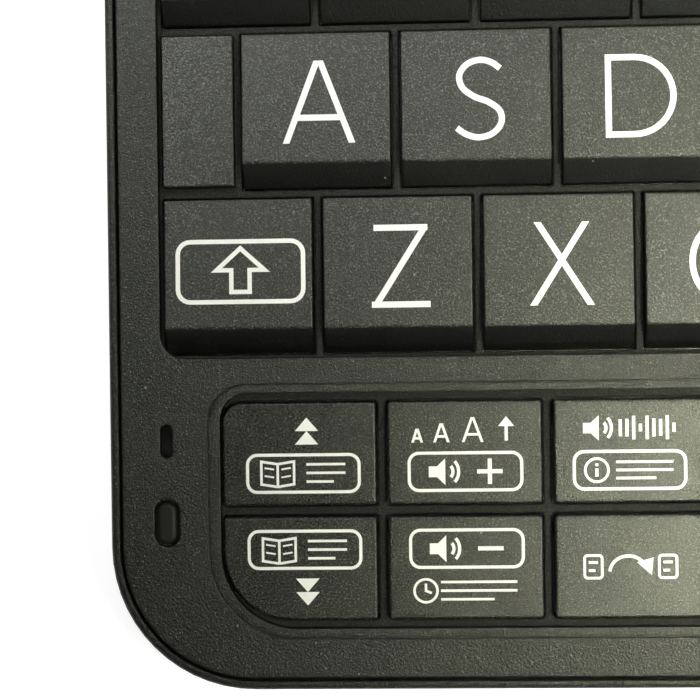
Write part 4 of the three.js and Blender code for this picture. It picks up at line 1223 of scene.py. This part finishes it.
# the cells: a pale jacket with a dark band at the plain end, and bare caps
def cellJacket():
    look = cellLook
    material, graph = newMaterial("cellJacket")
    place = objectPlace(graph)
    x, y, z = graph.parts(place)
    left, right = cadBox("battery_left")[:2]
    along = (x / mm - left).math("MODULO", right - left + look["gap"])
    aside, above = y / mm - axisY, z / mm - axisZ + look["sag"]
    radius = (aside.math("POWER", 2.0) + above.math("POWER", 2.0)).math("SQRT")
    jacket = radius > look["jacketRadius"]
    grain = noise(graph, place, look["grain"])
    colour = graph.blendColour(along < look["bandLength"], look["jacket"], look["band"])
    colour = graph.blendColour((grain - 0.5) * look["wear"], colour, look["worn"])
    shader = graph.add("BsdfPrincipled", {
        "Base Color": graph.blendColour(jacket, look["metal"], colour), "Metallic": 1 - jacket,
        "Roughness": (grain - 0.5) * look["roughVary"] + look["roughness"],
    })
    closeMaterial(graph, shader)
    return material


boardLook = {
    "mask": (0.010, 0.075, 0.032), "trace": (0.02, 0.15, 0.06), "pad": (0.62, 0.62, 0.58),
    "chip": (0.012, 0.012, 0.013), "low": 3.3 - 0.02, "high": 4.3 + 0.02, "lanePitch": 1.3,
    "laneShare": 0.35, "bend": 0.02, "bendSize": 9.0, "traceSize": 14.0, "traceGate": 0.48, "padPitch": 2.2,
    "padShare": 0.18, "padSize": 6.0, "padGate": 0.6, "grain": 0.25, "bump": 0.3, "bumpGrain": 0.3,
    "depth": 0.03, "roughness": 0.35, "roughVary": 0.1,
}


# green solder mask with lighter traces and tinned pads, and dark chips below
def boardFinish():
    look = boardLook
    material, graph = newMaterial("boardFinish")
    place = objectPlace(graph)
    x, _, z = graph.parts(place)
    grain = noise(graph, place, look["grain"])
    bend = noise(graph, place, look["bendSize"], 1.0)
    lanes = ((x + bend * look["bend"]) / (look["lanePitch"] * mm)).math("FRACT")
    trace = (lanes < look["laneShare"]) * (noise(graph, place, look["traceSize"], 0.0) > look["traceGate"])
    cells = cellPattern(graph, place, look["padPitch"], "CHEBYCHEV", 0.2)
    pad = (cells < look["padShare"]) * (noise(graph, place, look["padSize"], 0.0) > look["padGate"])
    board = (z / mm > look["low"]) * (z / mm < look["high"])
    colour = graph.blendColour(trace, look["mask"], look["trace"])
    colour = graph.blendColour(pad, colour, look["pad"])
    shader = graph.add("BsdfPrincipled", {
        "Base Color": graph.blendColour(board, look["chip"], colour), "Metallic": pad * board,
        "Roughness": (grain - 0.5) * look["roughVary"] + look["roughness"],
        "Normal": bump(graph, look["bump"], look["depth"], trace + grain * look["bumpGrain"]),
    })
    closeMaterial(graph, shader)
    return material


screenLook = {
    "mask": (0.004, 0.004, 0.005), "field": (0.085, 0.092, 0.082), "line": (0.060, 0.066, 0.058),
    "haze": (0.10, 0.11, 0.10), "border": 5.2, "pitch": 0.24, "lineShare": 0.12,
    "smear": 16.0, "hazeShare": 0.1, "hazeVary": 0.5,
    "roughness": 0.03, "roughVary": 0.12, "coat": 0.6, "ior": 1.5,
}


# dark cover glass with the unlit display behind it: a warm grey field inside a black mask
def screenFinish():
    look = screenLook
    material, graph = newMaterial("screenFinish")
    place = objectPlace(graph)
    closed = graph.add("Mapping", {
        "Vector": place, "Location": (0, axisY * mm, axisZ * mm), "Rotation": (lidTurn, 0, 0),
    }, vector_type="TEXTURE")
    x, y, _ = graph.parts(closed)
    middle, reach = (window[2] + window[3]) / 2, (window[3] - window[2]) / 2
    acrossField = (x / mm).math("ABSOLUTE") < window[1] - look["border"]
    alongField = (y / mm - middle).math("ABSOLUTE") < reach - look["border"]
    rows, columns = ((way / (look["pitch"] * mm)).math("FRACT") for way in (y, x))
    dots = (rows > look["lineShare"]) * (columns > look["lineShare"])
    field = graph.blendColour(dots, look["line"], look["field"])
    smear = noise(graph, place, look["smear"], 4.0, 0.6, 0.4)
    field = graph.blendColour((smear - 0.5) * look["hazeVary"] + look["hazeShare"], field, look["haze"])
    shader = graph.add("BsdfPrincipled", {
        "Base Color": graph.blendColour(acrossField * alongField, look["mask"], field),
        "Roughness": smear * look["roughVary"] + look["roughness"], "Coat Weight": look["coat"],
        "IOR": look["ior"],
    })
    closeMaterial(graph, shader)
    return material


cadFinishes = {
    "main_board": boardFinish(), "battery_left": cellJacket(), "display_glass": screenFinish(),
    "display_module": pressedSheet,
    **{node: platedSteel for node in ("speaker", "battery_spring", "hinge_pin_left", "hinge_pin_right")},
}
cadFinishes["battery_right"] = cadFinishes["battery_left"]
for node, finish in cadFinishes.items():
    materials = frame["nodes"][node].data.materials
    materials.clear()
    materials.append(finish)
print("finishes set on the solids:", len(cadFinishes))


# Legends: thin strokes that lie on the caps, each a little higher than the one before

legendSizes = {"sink": 0.06, "rise": 0.012, "layer": 0.0015}
letterSizes = {"height": 7.2, "stroke": 0.53, "right": 0.27, "forward": 0.4}
letterWidths = {
    "a": 0.889, "b": 0.70, "c": 0.83, "d": 0.847, "e": 0.60, "f": 0.57, "g": 0.86, "h": 0.74, "i": 0.08,
    "j": 0.48, "k": 0.70, "l": 0.55, "m": 0.90, "n": 0.76, "o": 0.90, "p": 0.66, "q": 0.90, "r": 0.68,
    "s": 0.59, "t": 0.66, "u": 0.73, "v": 0.80, "w": 1.14, "x": 0.778, "y": 0.76, "z": 0.708,
}
signSizes = {"stroke": 0.27, "thin": 0.22, "radius": 0.85}


# the two edges of a stroke along points, mitred at its corners
def ribbon(points, width, closed=False):
    count = len(points)
    left, right = [], []
    for i, (x, y) in enumerate(points):
        before = points[i - 1] if closed or i else None
        after = points[(i + 1) % count] if closed or i < count - 1 else None
        normals = []
        for a, b in ((before, (x, y)), ((x, y), after)):
            if a and b:
                dx, dy = b[0] - a[0], b[1] - a[1]
                length = math.hypot(dx, dy) or 1.0
                normals.append((-dy / length, dx / length))
        nx, ny = (sum(parts) / len(normals) for parts in zip(*normals))
        scale = width / 2 / max(nx * nx + ny * ny, 0.1)
        left.append((x + nx * scale, y + ny * scale))
        right.append((x - nx * scale, y - ny * scale))
    return left, right


def arcPoints(cx, cy, rx, ry, start, end, steps=None):
    steps = steps or max(4, int(abs(end - start) / 9))
    turned = [math.radians(start + (end - start) * i / steps) for i in range(steps + 1)]
    return [(cx + rx * math.cos(turn), cy + ry * math.sin(turn)) for turn in turned]


def ringPoints(x, y, radius, steps=32):
    return arcPoints(x, y, radius, radius, 0, 360, steps)[:-1]


# a smooth path through a few points
def smoothPath(points, steps=6):
    ends = [points[0], *points, points[-1]]
    path = []
    for a, b, c, d in zip(ends, ends[1:], ends[2:], ends[3:]):
        for i in range(steps):
            t = i / steps
            path.append(tuple(
                0.5 * (2 * q + (r - p) * t + (2 * p - 5 * q + 4 * r - s) * t ** 2
                       + (3 * q - p - 3 * r + s) * t ** 3)
                for p, q, r, s in zip(a, b, c, d)
            ))
    return path + [points[-1]]


# strokes in a cap's own plane, each as a thin closed prism
class Legend:
    def __init__(self, centre, heightAt):
        self.shape = Shape()
        self.centre = centre
        self.heightAt = heightAt
        self.layer = 0

    def nextHeights(self):
        rise = legendSizes["rise"] + legendSizes["layer"] * self.layer
        self.layer += 1
        return -legendSizes["sink"], rise

    def placed(self, point, rise):
        x, y = self.centre.x + point[0], self.centre.y + point[1]
        return x, y, self.heightAt(y) + rise

    def stroke(self, points, width, closed=False):
        low, high = self.nextHeights()
        rings = [
            [self.placed(a, low), self.placed(b, low), self.placed(b, high), self.placed(a, high)]
            for a, b in zip(*ribbon(points, width, closed))
        ]
        if not closed:
            self.shape.loft(rings)
            return
        self.shape.add([point for ring in rings for point in ring], bands(len(rings), 4, closed=True))

    def polygon(self, points):
        self.shape.loft([[self.placed(point, rise) for point in points] for rise in self.nextHeights()])

    # a leaning stroke whose ends are cut level
    def leaning(self, x1, y1, x2, y2, width):
        half = width / 2 * math.hypot(x2 - x1, y2 - y1) / abs(y2 - y1)
        self.polygon([(x1 - half, y1), (x1 + half, y1), (x2 + half, y2), (x2 - half, y2)])

    def frame(self, box, radius, width):
        self.stroke(cornered(box, [radius] * 4, 0, 6), width, True)


# the strokes of each letter on a square of height 1
def drawLetter(legend, letter, height, stroke, right=0.0, up=0.0):
    w = letterWidths[letter]
    s = stroke / height
    e, lip = s / 2, s * 0.62    # from an edge to a stroke's middle, upright and leaning

    def place(x, y):
        return (x - w / 2) * height + right, (y - 0.5) * height + up

    def run(points, closed=False):
        legend.stroke([place(x, y) for x, y in points], stroke, closed)

    def lean(x1, y1, x2, y2):
        legend.leaning(*place(x1, y1), *place(x2, y2), stroke)

    # a bowl that closes on a stem at x
    def bowl(x, low, high, reach):
        r = (high - low) / 2 - e
        middle = max(reach - e - r, x)
        turned = arcPoints(middle, (low + high) / 2, reach - e - middle, r, 90, -90)
        run([(x, high - e), (middle, high - e)] + turned[1:] + [(x, low + e)])

    half = w / 2 - e
    stem, farStem = (run, [(e, 0), (e, 1)]), (run, [(w - e, 0), (w - e, 1)])
    ring = (run, arcPoints(w / 2, 0.5, half, 0.5 - e, 0, 360, 48)[:-1], True)
    glyphs = {
        "a": [
            (lean, lip, 0, w / 2 - 0.018, 1), (lean, w - lip, 0, w / 2 + 0.018, 1),
            (run, [(0.19, 0.31), (w - 0.19, 0.31)]),
        ],
        "b": [stem, (bowl, e, 0.5 - e, 1, w - 0.05), (bowl, e, 0, 0.5 + e, w)],
        "c": [(run, arcPoints(w / 2, 0.5, half, 0.5 - e, 42, 318))],
        "d": [stem, (bowl, e, 0, 1, w)],
        "e": [(run, [(w, 1 - e), (e, 1 - e), (e, e), (w, e)]), (run, [(e, 0.52), (w - 0.05, 0.52)])],
        "f": [(run, [(w, 1 - e), (e, 1 - e), (e, 0)]), (run, [(e, 0.5), (w - 0.07, 0.5)])],
        "g": [(run, arcPoints(w / 2, 0.5, half, 0.5 - e, 42, 345) + [(w - e, 0.45), (w * 0.55, 0.45)])],
        "h": [stem, farStem, (run, [(e, 0.52), (w - e, 0.52)])],
        "i": [(run, [(w / 2, 0), (w / 2, 1)])],
        "j": [(run, [(w - e, 1), (w - e, 0.24)] + arcPoints(w / 2, 0.24, half, 0.24 - e, 0, -160)[1:])],
        "k": [stem, (lean, 0.06, 0.36, w - lip, 1), (lean, w - lip, 0, 0.27, 0.585)],
        "l": [(run, [(e, 1), (e, e), (w, e)])],
        "m": [stem, farStem, (lean, e + 0.01, 1, w / 2, 0.02), (lean, w - e - 0.01, 1, w / 2, 0.02)],
        "n": [stem, farStem, (lean, e + 0.02, 1, w - e - 0.02, 0)],
        "o": [ring],
        "p": [stem, (bowl, e, 0.44, 1, w)],
        "q": [ring, (run, [(w * 0.60, 0.24), (w - 0.02, -0.03)])],
        "r": [stem, (bowl, e, 0.46, 1, w - 0.03), (lean, w - lip, 0, w * 0.52, 0.48)],
        "s": [(run, smoothPath([
            (0.55, 0.862), (0.445, 0.937), (0.308, 0.968), (0.155, 0.918), (0.062, 0.79), (0.095, 0.64),
            (0.24, 0.525), (0.405, 0.46), (0.543, 0.35), (0.556, 0.20), (0.448, 0.076), (0.285, 0.034),
            (0.135, 0.074), (0.025, 0.150),
        ]))],
        "t": [(run, [(w / 2, 0), (w / 2, 1 - s * 0.5)]), (run, [(0, 1 - e), (w, 1 - e)])],
        "u": [(run, [(e, 1), (e, w / 2)] + arcPoints(w / 2, w / 2, half, half, 180, 360)[1:] + [(w - e, 1)])],
        "v": [(lean, lip, 1, w / 2 - 0.018, 0), (lean, w - lip, 1, w / 2 + 0.018, 0)],
        "w": [
            (lean, lip, 1, w * 0.27 - 0.015, 0), (lean, w / 2 - 0.015, 1, w * 0.27 + 0.015, 0),
            (lean, w / 2 + 0.015, 1, w * 0.73 - 0.015, 0), (lean, w - lip, 1, w * 0.73 + 0.015, 0),
        ],
        "x": [(lean, lip, 0, w - 0.1, 1), (lean, w - lip, 0, 0.1, 1)],
        "y": [
            (lean, lip, 1, w / 2, 0.43), (lean, w - lip, 1, w / 2, 0.43), (run, [(w / 2, 0), (w / 2, 0.46)]),
        ],
        "z": [
            (run, [(0.03, 1 - e), (w - 0.03, 1 - e)]), (run, [(0, e), (w, e)]),
            (lean, lip + 0.01, s * 0.5, w - lip - 0.02, 1 - s * 0.5),
        ],
    }
    for draw, *given in glyphs[letter]:
        draw(*given)


# Signs, for the keys that carry words on the real thing

def drawSpeaker(legend, x, y, size):
    def place(points):
        return [(x + u * size, y + v * size) for u, v in points]

    legend.polygon(place([(-0.5, -0.17), (-0.22, -0.17), (-0.22, 0.17), (-0.5, 0.17)]))
    legend.polygon(place([(-0.24, -0.17), (0.02, -0.42), (0.02, 0.42), (-0.24, 0.17)]))
    for reach in (0.2, 0.38):
        legend.stroke(place(arcPoints(0.06, 0, reach, reach * 1.15, -48, 48)), size * 0.1)


def drawBook(legend, x, y, size):
    low, spine, high, top = -0.42, -0.52, 0.44, 0.34
    for side in (-1, 1):
        outline = [(0, spine), (side * 0.62, low), (side * 0.62, high), (0, top)]
        legend.stroke([(x + u * size, y + v * size) for u, v in outline], signSizes["thin"])
        for v in (0.14, -0.16):
            inner = (x + side * 0.14 * size, y + v * size)
            legend.stroke([inner, (x + side * 0.5 * size, y + (v + 0.06) * size)], 0.15)
    legend.stroke([(x, y + spine * size), (x, y + top * size)], signSizes["thin"])


def drawLines(legend, x, y, width, height, rows):
    for i in range(rows):
        v = y + height / 2 - height * i / (rows - 1)
        end = x + width / 2 - (width * 0.3 if i == rows - 1 else 0)
        legend.stroke([(x - width / 2, v), (end, v)], signSizes["thin"])


def drawTriangles(legend, x, y, way):
    width, height = 2.05, 1.17
    for base in (y - way * height, y):
        corners = [(x - width / 2, base), (x + width / 2, base), (x, base + way * height)]
        legend.polygon(corners[::way])


def drawFrame(legend, x, y, width=10.0, height=3.5):
    half = signSizes["stroke"] / 2
    box = [x - width / 2 + half, x + width / 2 - half, y - height / 2 + half, y + height / 2 - half]
    legend.frame(box, signSizes["radius"], signSizes["stroke"])


def drawVolume(legend, y, plus):
    drawSpeaker(legend, -1.75, y, 2.75)
    x, reach, wide = 2.15, 1.1, 0.36
    legend.stroke([(x - reach, y), (x + reach, y)], wide)
    if plus:
        legend.stroke([(x, y - reach), (x, y + reach)], wide)


# three growing capitals and an arrow
def drawTextSize(legend, y):
    for x, height in ((-4.1, 1.2), (-2.0, 1.65), (0.7, 2.15)):
        drawLetter(legend, "a", height, signSizes["thin"], x, y - 1.1 + height / 2)
    legend.stroke([(3.6, y - 1.0), (3.6, y + 0.4)], signSizes["stroke"])
    legend.polygon([(2.9, y + 0.25), (4.3, y + 0.25), (3.6, y + 1.1)])


def drawWave(legend, x, y, width, height, bars):
    for i in range(bars):
        u = x - width / 2 + width * i / (bars - 1)
        reach = height / 2 * (0.3 + 0.7 * abs(math.sin(1.9 * i + 0.6)))
        legend.stroke([(u, y - reach), (u, y + reach)], signSizes["stroke"])


def drawClock(legend, x, y, radius):
    legend.stroke(ringPoints(x, y, radius), signSizes["thin"], True)
    legend.stroke([(x, y + radius * 0.62), (x, y), (x + radius * 0.5, y - radius * 0.2)], signSizes["thin"])


def drawHint(legend, x, y, radius):
    legend.stroke(ringPoints(x, y, radius), signSizes["thin"], True)
    for low, high in ((-0.55, 0.15), (0.35, 0.58)):
        legend.stroke([(x, y + radius * low), (x, y + radius * high)], signSizes["stroke"])


# a page, a leap, and another page
def drawLeap(legend):
    for x in (-3.4, 3.0):
        legend.frame([x - 0.75, x + 0.75, -1.0, 0.95], 0.25, signSizes["thin"])
        drawLines(legend, x, 0.0, 0.8, 0.7, 2)
    legend.stroke(arcPoints(-0.4, -0.55, 1.6, 1.45, 175, 35), signSizes["stroke"])
    legend.polygon([(0.35, 0.35), (1.6, -0.75), (1.75, 0.75)])


def drawArrow(legend, way, size=3.4):
    points = [(-size / 2, -size * 0.36), (size / 2, -size * 0.36), (0, size * 0.5)]
    for _ in range(way):
        points = [(-v, u) for u, v in points]
    legend.polygon(points)


# the signs of each key from its middle; upper and lower are where the two lines of a legend lie
upper, lower = 2.0, -1.64
bend = arcPoints(1.2, 0.6, 1.0, 1.0, 0, 90)[1:]
shiftArrow = [(0.8, -1.8), (0.8, 0.1), (2.1, 0.1), (0, 2.0), (-2.1, 0.1), (-0.8, 0.1), (-0.8, -1.8)]
keySigns = {
    "key_previous_entry": [
        (drawTriangles, 0.65, upper, 1), (drawFrame, 0.33, lower - 0.04), (drawBook, -1.9, lower, 2.3),
        (drawLines, 2.3, lower, 3.4, 1.5, 3),
    ],
    "key_next_entry": [
        (drawFrame, 0.38, -lower), (drawBook, -1.85, -lower, 2.3), (drawLines, 2.35, -lower, 3.4, 1.5, 3),
        (drawTriangles, 0.6, -upper - 0.04, -1),
    ],
    "key_volume_up": [(drawTextSize, upper), (drawFrame, 0.04, lower), (drawVolume, lower, True)],
    "key_volume_down": [
        (drawFrame, 0.08, -lower), (drawVolume, -lower, False), (drawClock, -3.5, -upper, 1.0),
        (drawLines, 1.1, -upper, 6.6, 1.5, 3),
    ],
    "key_speech": [
        (drawSpeaker, -2.85, upper, 2.6), (drawWave, 1.35, upper, 4.6, 2.1, 9),
        (drawFrame, -0.17, lower, 9.8), (drawHint, -3.0, lower, 1.0), (drawLines, 1.1, lower, 4.9, 1.4, 3),
    ],
    "key_jump": [(drawLeap,)],
    "key_back": [
        (Legend.stroke, [(2.2, -2.0), (2.2, 0.6)] + bend + [(-1.6, 1.6)], 0.42),
        (Legend.polygon, [(-3.2, 1.6), (-1.5, 0.5), (-1.5, 2.7)]),
    ],
    "key_enter": [
        (Legend.stroke, [(4.2, 2.6), (4.2, -0.8), (-2.2, -0.8)], 0.5),
        (Legend.polygon, [(-4.6, -0.8), (-2.2, -2.3), (-2.2, 0.7)]),
    ],
    "key_up": [(drawArrow, 0)], "key_left": [(drawArrow, 1)],
    "key_down": [(drawArrow, 2)], "key_right": [(drawArrow, 3)],
    "key_shift": [
        (Legend.frame, [-5.28, 5.68, -2.21, 3.05], 1.1, 0.39),
        (Legend.stroke, [(0.2 + u, 0.45 + v) for u, v in shiftArrow], 0.38, True),
    ],
    "key_delete": [
        (Legend.stroke, [(-3.2, 0), (-1.4, 1.8), (3.2, 1.8), (3.2, -1.8), (-1.4, -1.8)], 0.4, True),
        (Legend.stroke, [(-0.5, 0.85), (1.7, -0.85)], 0.4),
        (Legend.stroke, [(-0.5, -0.85), (1.7, 0.85)], 0.4),
    ],
}


def makeLegends():
    sizes, letters = keySizes, letterSizes
    for name in allKeys:
        box = capBox(name)
        centre = centreOf(box)
        heightAt = lambda y: sizes["padTop"]
        if name in keyNames:
            ridgeY = box[2] + sizes["ridgeFromFront"]
            slope = (sizes["ridge"] - sizes["rearTop"]) / (box[3] - ridgeY)
            heightAt = lambda y: sizes["ridge"] - (y - ridgeY) * slope
            if name != "key_shift":
                middle = (ridgeY + box[3]) / 2 - letters["forward"]
                centre = Vector((centre.x + letters["right"], middle, 0))
        legend = Legend(centre, heightAt)
        signs = keySigns.get(name, [(drawLetter, name[-1], letters["height"], letters["stroke"])])
        for draw, *given in signs:
            draw(legend, *given)
        piece = objectOf(name.replace("key_", "legend_"), legend.shape, legendInk)
        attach(piece, name)


makeLegends()
print("legends made")


# Light, floor and background

warm = (1.0, 0.985, 0.80)
light = {
    "skyAmbient": 0.09, "skyWhite": 1.0, "horizonFall": 5.0,
    "floorWhite": 0.88, "floorTone": 0.4, "floorVary": 0.03, "floorPatch": 60.0, "floorReach": 3000.0,
}
lamps = {
    "key": {
        "place": (95, -62, 300), "size": 60, "power": 0.31, "spread": 45, "aim": (80, -55, 9), "colour": warm,
    },
    "low": {
        "place": (75, -80, 300), "size": 50, "power": 0.12, "spread": 60, "aim": (60, -65, 9), "colour": warm,
    },
    "back": {"place": (-40, 140, 260), "size": 80, "power": 0.03, "spread": 50, "aim": (-40, 30, 9)},
    "left": {"place": (-190, 20, 240), "size": 60, "power": 0.0045, "spread": 35, "aim": (-80, 10, 9)},
    "side": {"place": (-150, 60, 200), "size": 50, "power": 0.012, "spread": 35, "aim": (-84, 25, 9)},
    "right": {"place": (260, -60, 260), "size": 150, "power": 0.42, "spread": 180, "aim": (-20, -40, 9)},
    "fill": {"place": (190, 152, 400), "size": 220, "power": 0.15, "spread": 180, "aim": (-30, -40, 9)},
    "lid": {"place": (60, -260, 260), "size": 120, "power": 0.02, "spread": 26, "aim": (0, 66, 60)},
}


def makeLamp(name, look):
    data = bpy.data.lights.new(name, "AREA")
    data.shape = "SQUARE"
    data.size = look["size"] * mm
    data.energy = look["power"]
    data.color = look.get("colour", (1, 1, 1))
    data.spread = math.radians(look["spread"])
    lamp = newObject(name, data)
    place = Vector(look["place"]) * mm
    lamp.location = place
    lamp.rotation_euler = (Vector(look["aim"]) * mm - place).to_track_quat("-Z", "Y").to_euler()
    lamp.visible_camera = False


def makeWorld():
    world = bpy.data.worlds.new("studio")
    bpy.context.scene.world = world
    world.use_nodes = True
    world.node_tree.nodes.clear()
    graph = Graph(world.node_tree)
    rays = graph.add("LightPath", out="Is Camera Ray")
    upward = graph.parts(graph.add("TexCoord", out="Generated"))[2]
    # reflections see the white backdrop near the horizon and the dim studio above
    low = 1 - (upward * light["horizonFall"]).math("MAXIMUM", 0.0).math("MINIMUM", 1.0)
    seen = rays.math("MAXIMUM", rays.out("Is Transmission Ray"))
    white = seen.math("MAXIMUM", rays.out("Is Glossy Ray") * low)
    strength = white * (light["skyWhite"] - light["skyAmbient"]) + light["skyAmbient"]
    shader = graph.add("Background", {"Color": (1, 1, 1, 1), "Strength": strength})
    graph.add("OutputWorld", {0: shader})


def makeFloor():
    material, graph = newMaterial("floorWhite")
    rays = graph.add("LightPath", out="Is Camera Ray")
    seen = rays.math("MAXIMUM", rays.out("Is Glossy Ray")).math("MAXIMUM", rays.out("Is Transmission Ray"))
    tone, patches = light["floorTone"], noise(graph, objectPlace(graph), light["floorPatch"])
    colour = graph.blendColour(patches, (tone,) * 3, (tone + light["floorVary"],) * 3)
    diffuse = graph.add("BsdfDiffuse", {"Color": colour})
    glow = graph.add("Emission", {"Color": (1, 1, 1, 1), "Strength": seen * light["floorWhite"]})
    closeMaterial(graph, graph.add("AddShader", {0: diffuse, 1: glow}))
    mesh = bpy.data.meshes.new("floor")
    reach = light["floorReach"] * mm
    corners = [(-reach, -reach, 0), (reach, -reach, 0), (reach, reach, 0), (-reach, reach, 0)]
    mesh.from_pydata(corners, [], [(0, 1, 2, 3)])
    mesh.materials.append(material)
    newObject("floor", mesh)


for name, look in lamps.items():
    makeLamp(name, look)
makeWorld()
makeFloor()
bpy.context.scene.view_settings.view_transform = "Standard"
print("light and floor set")
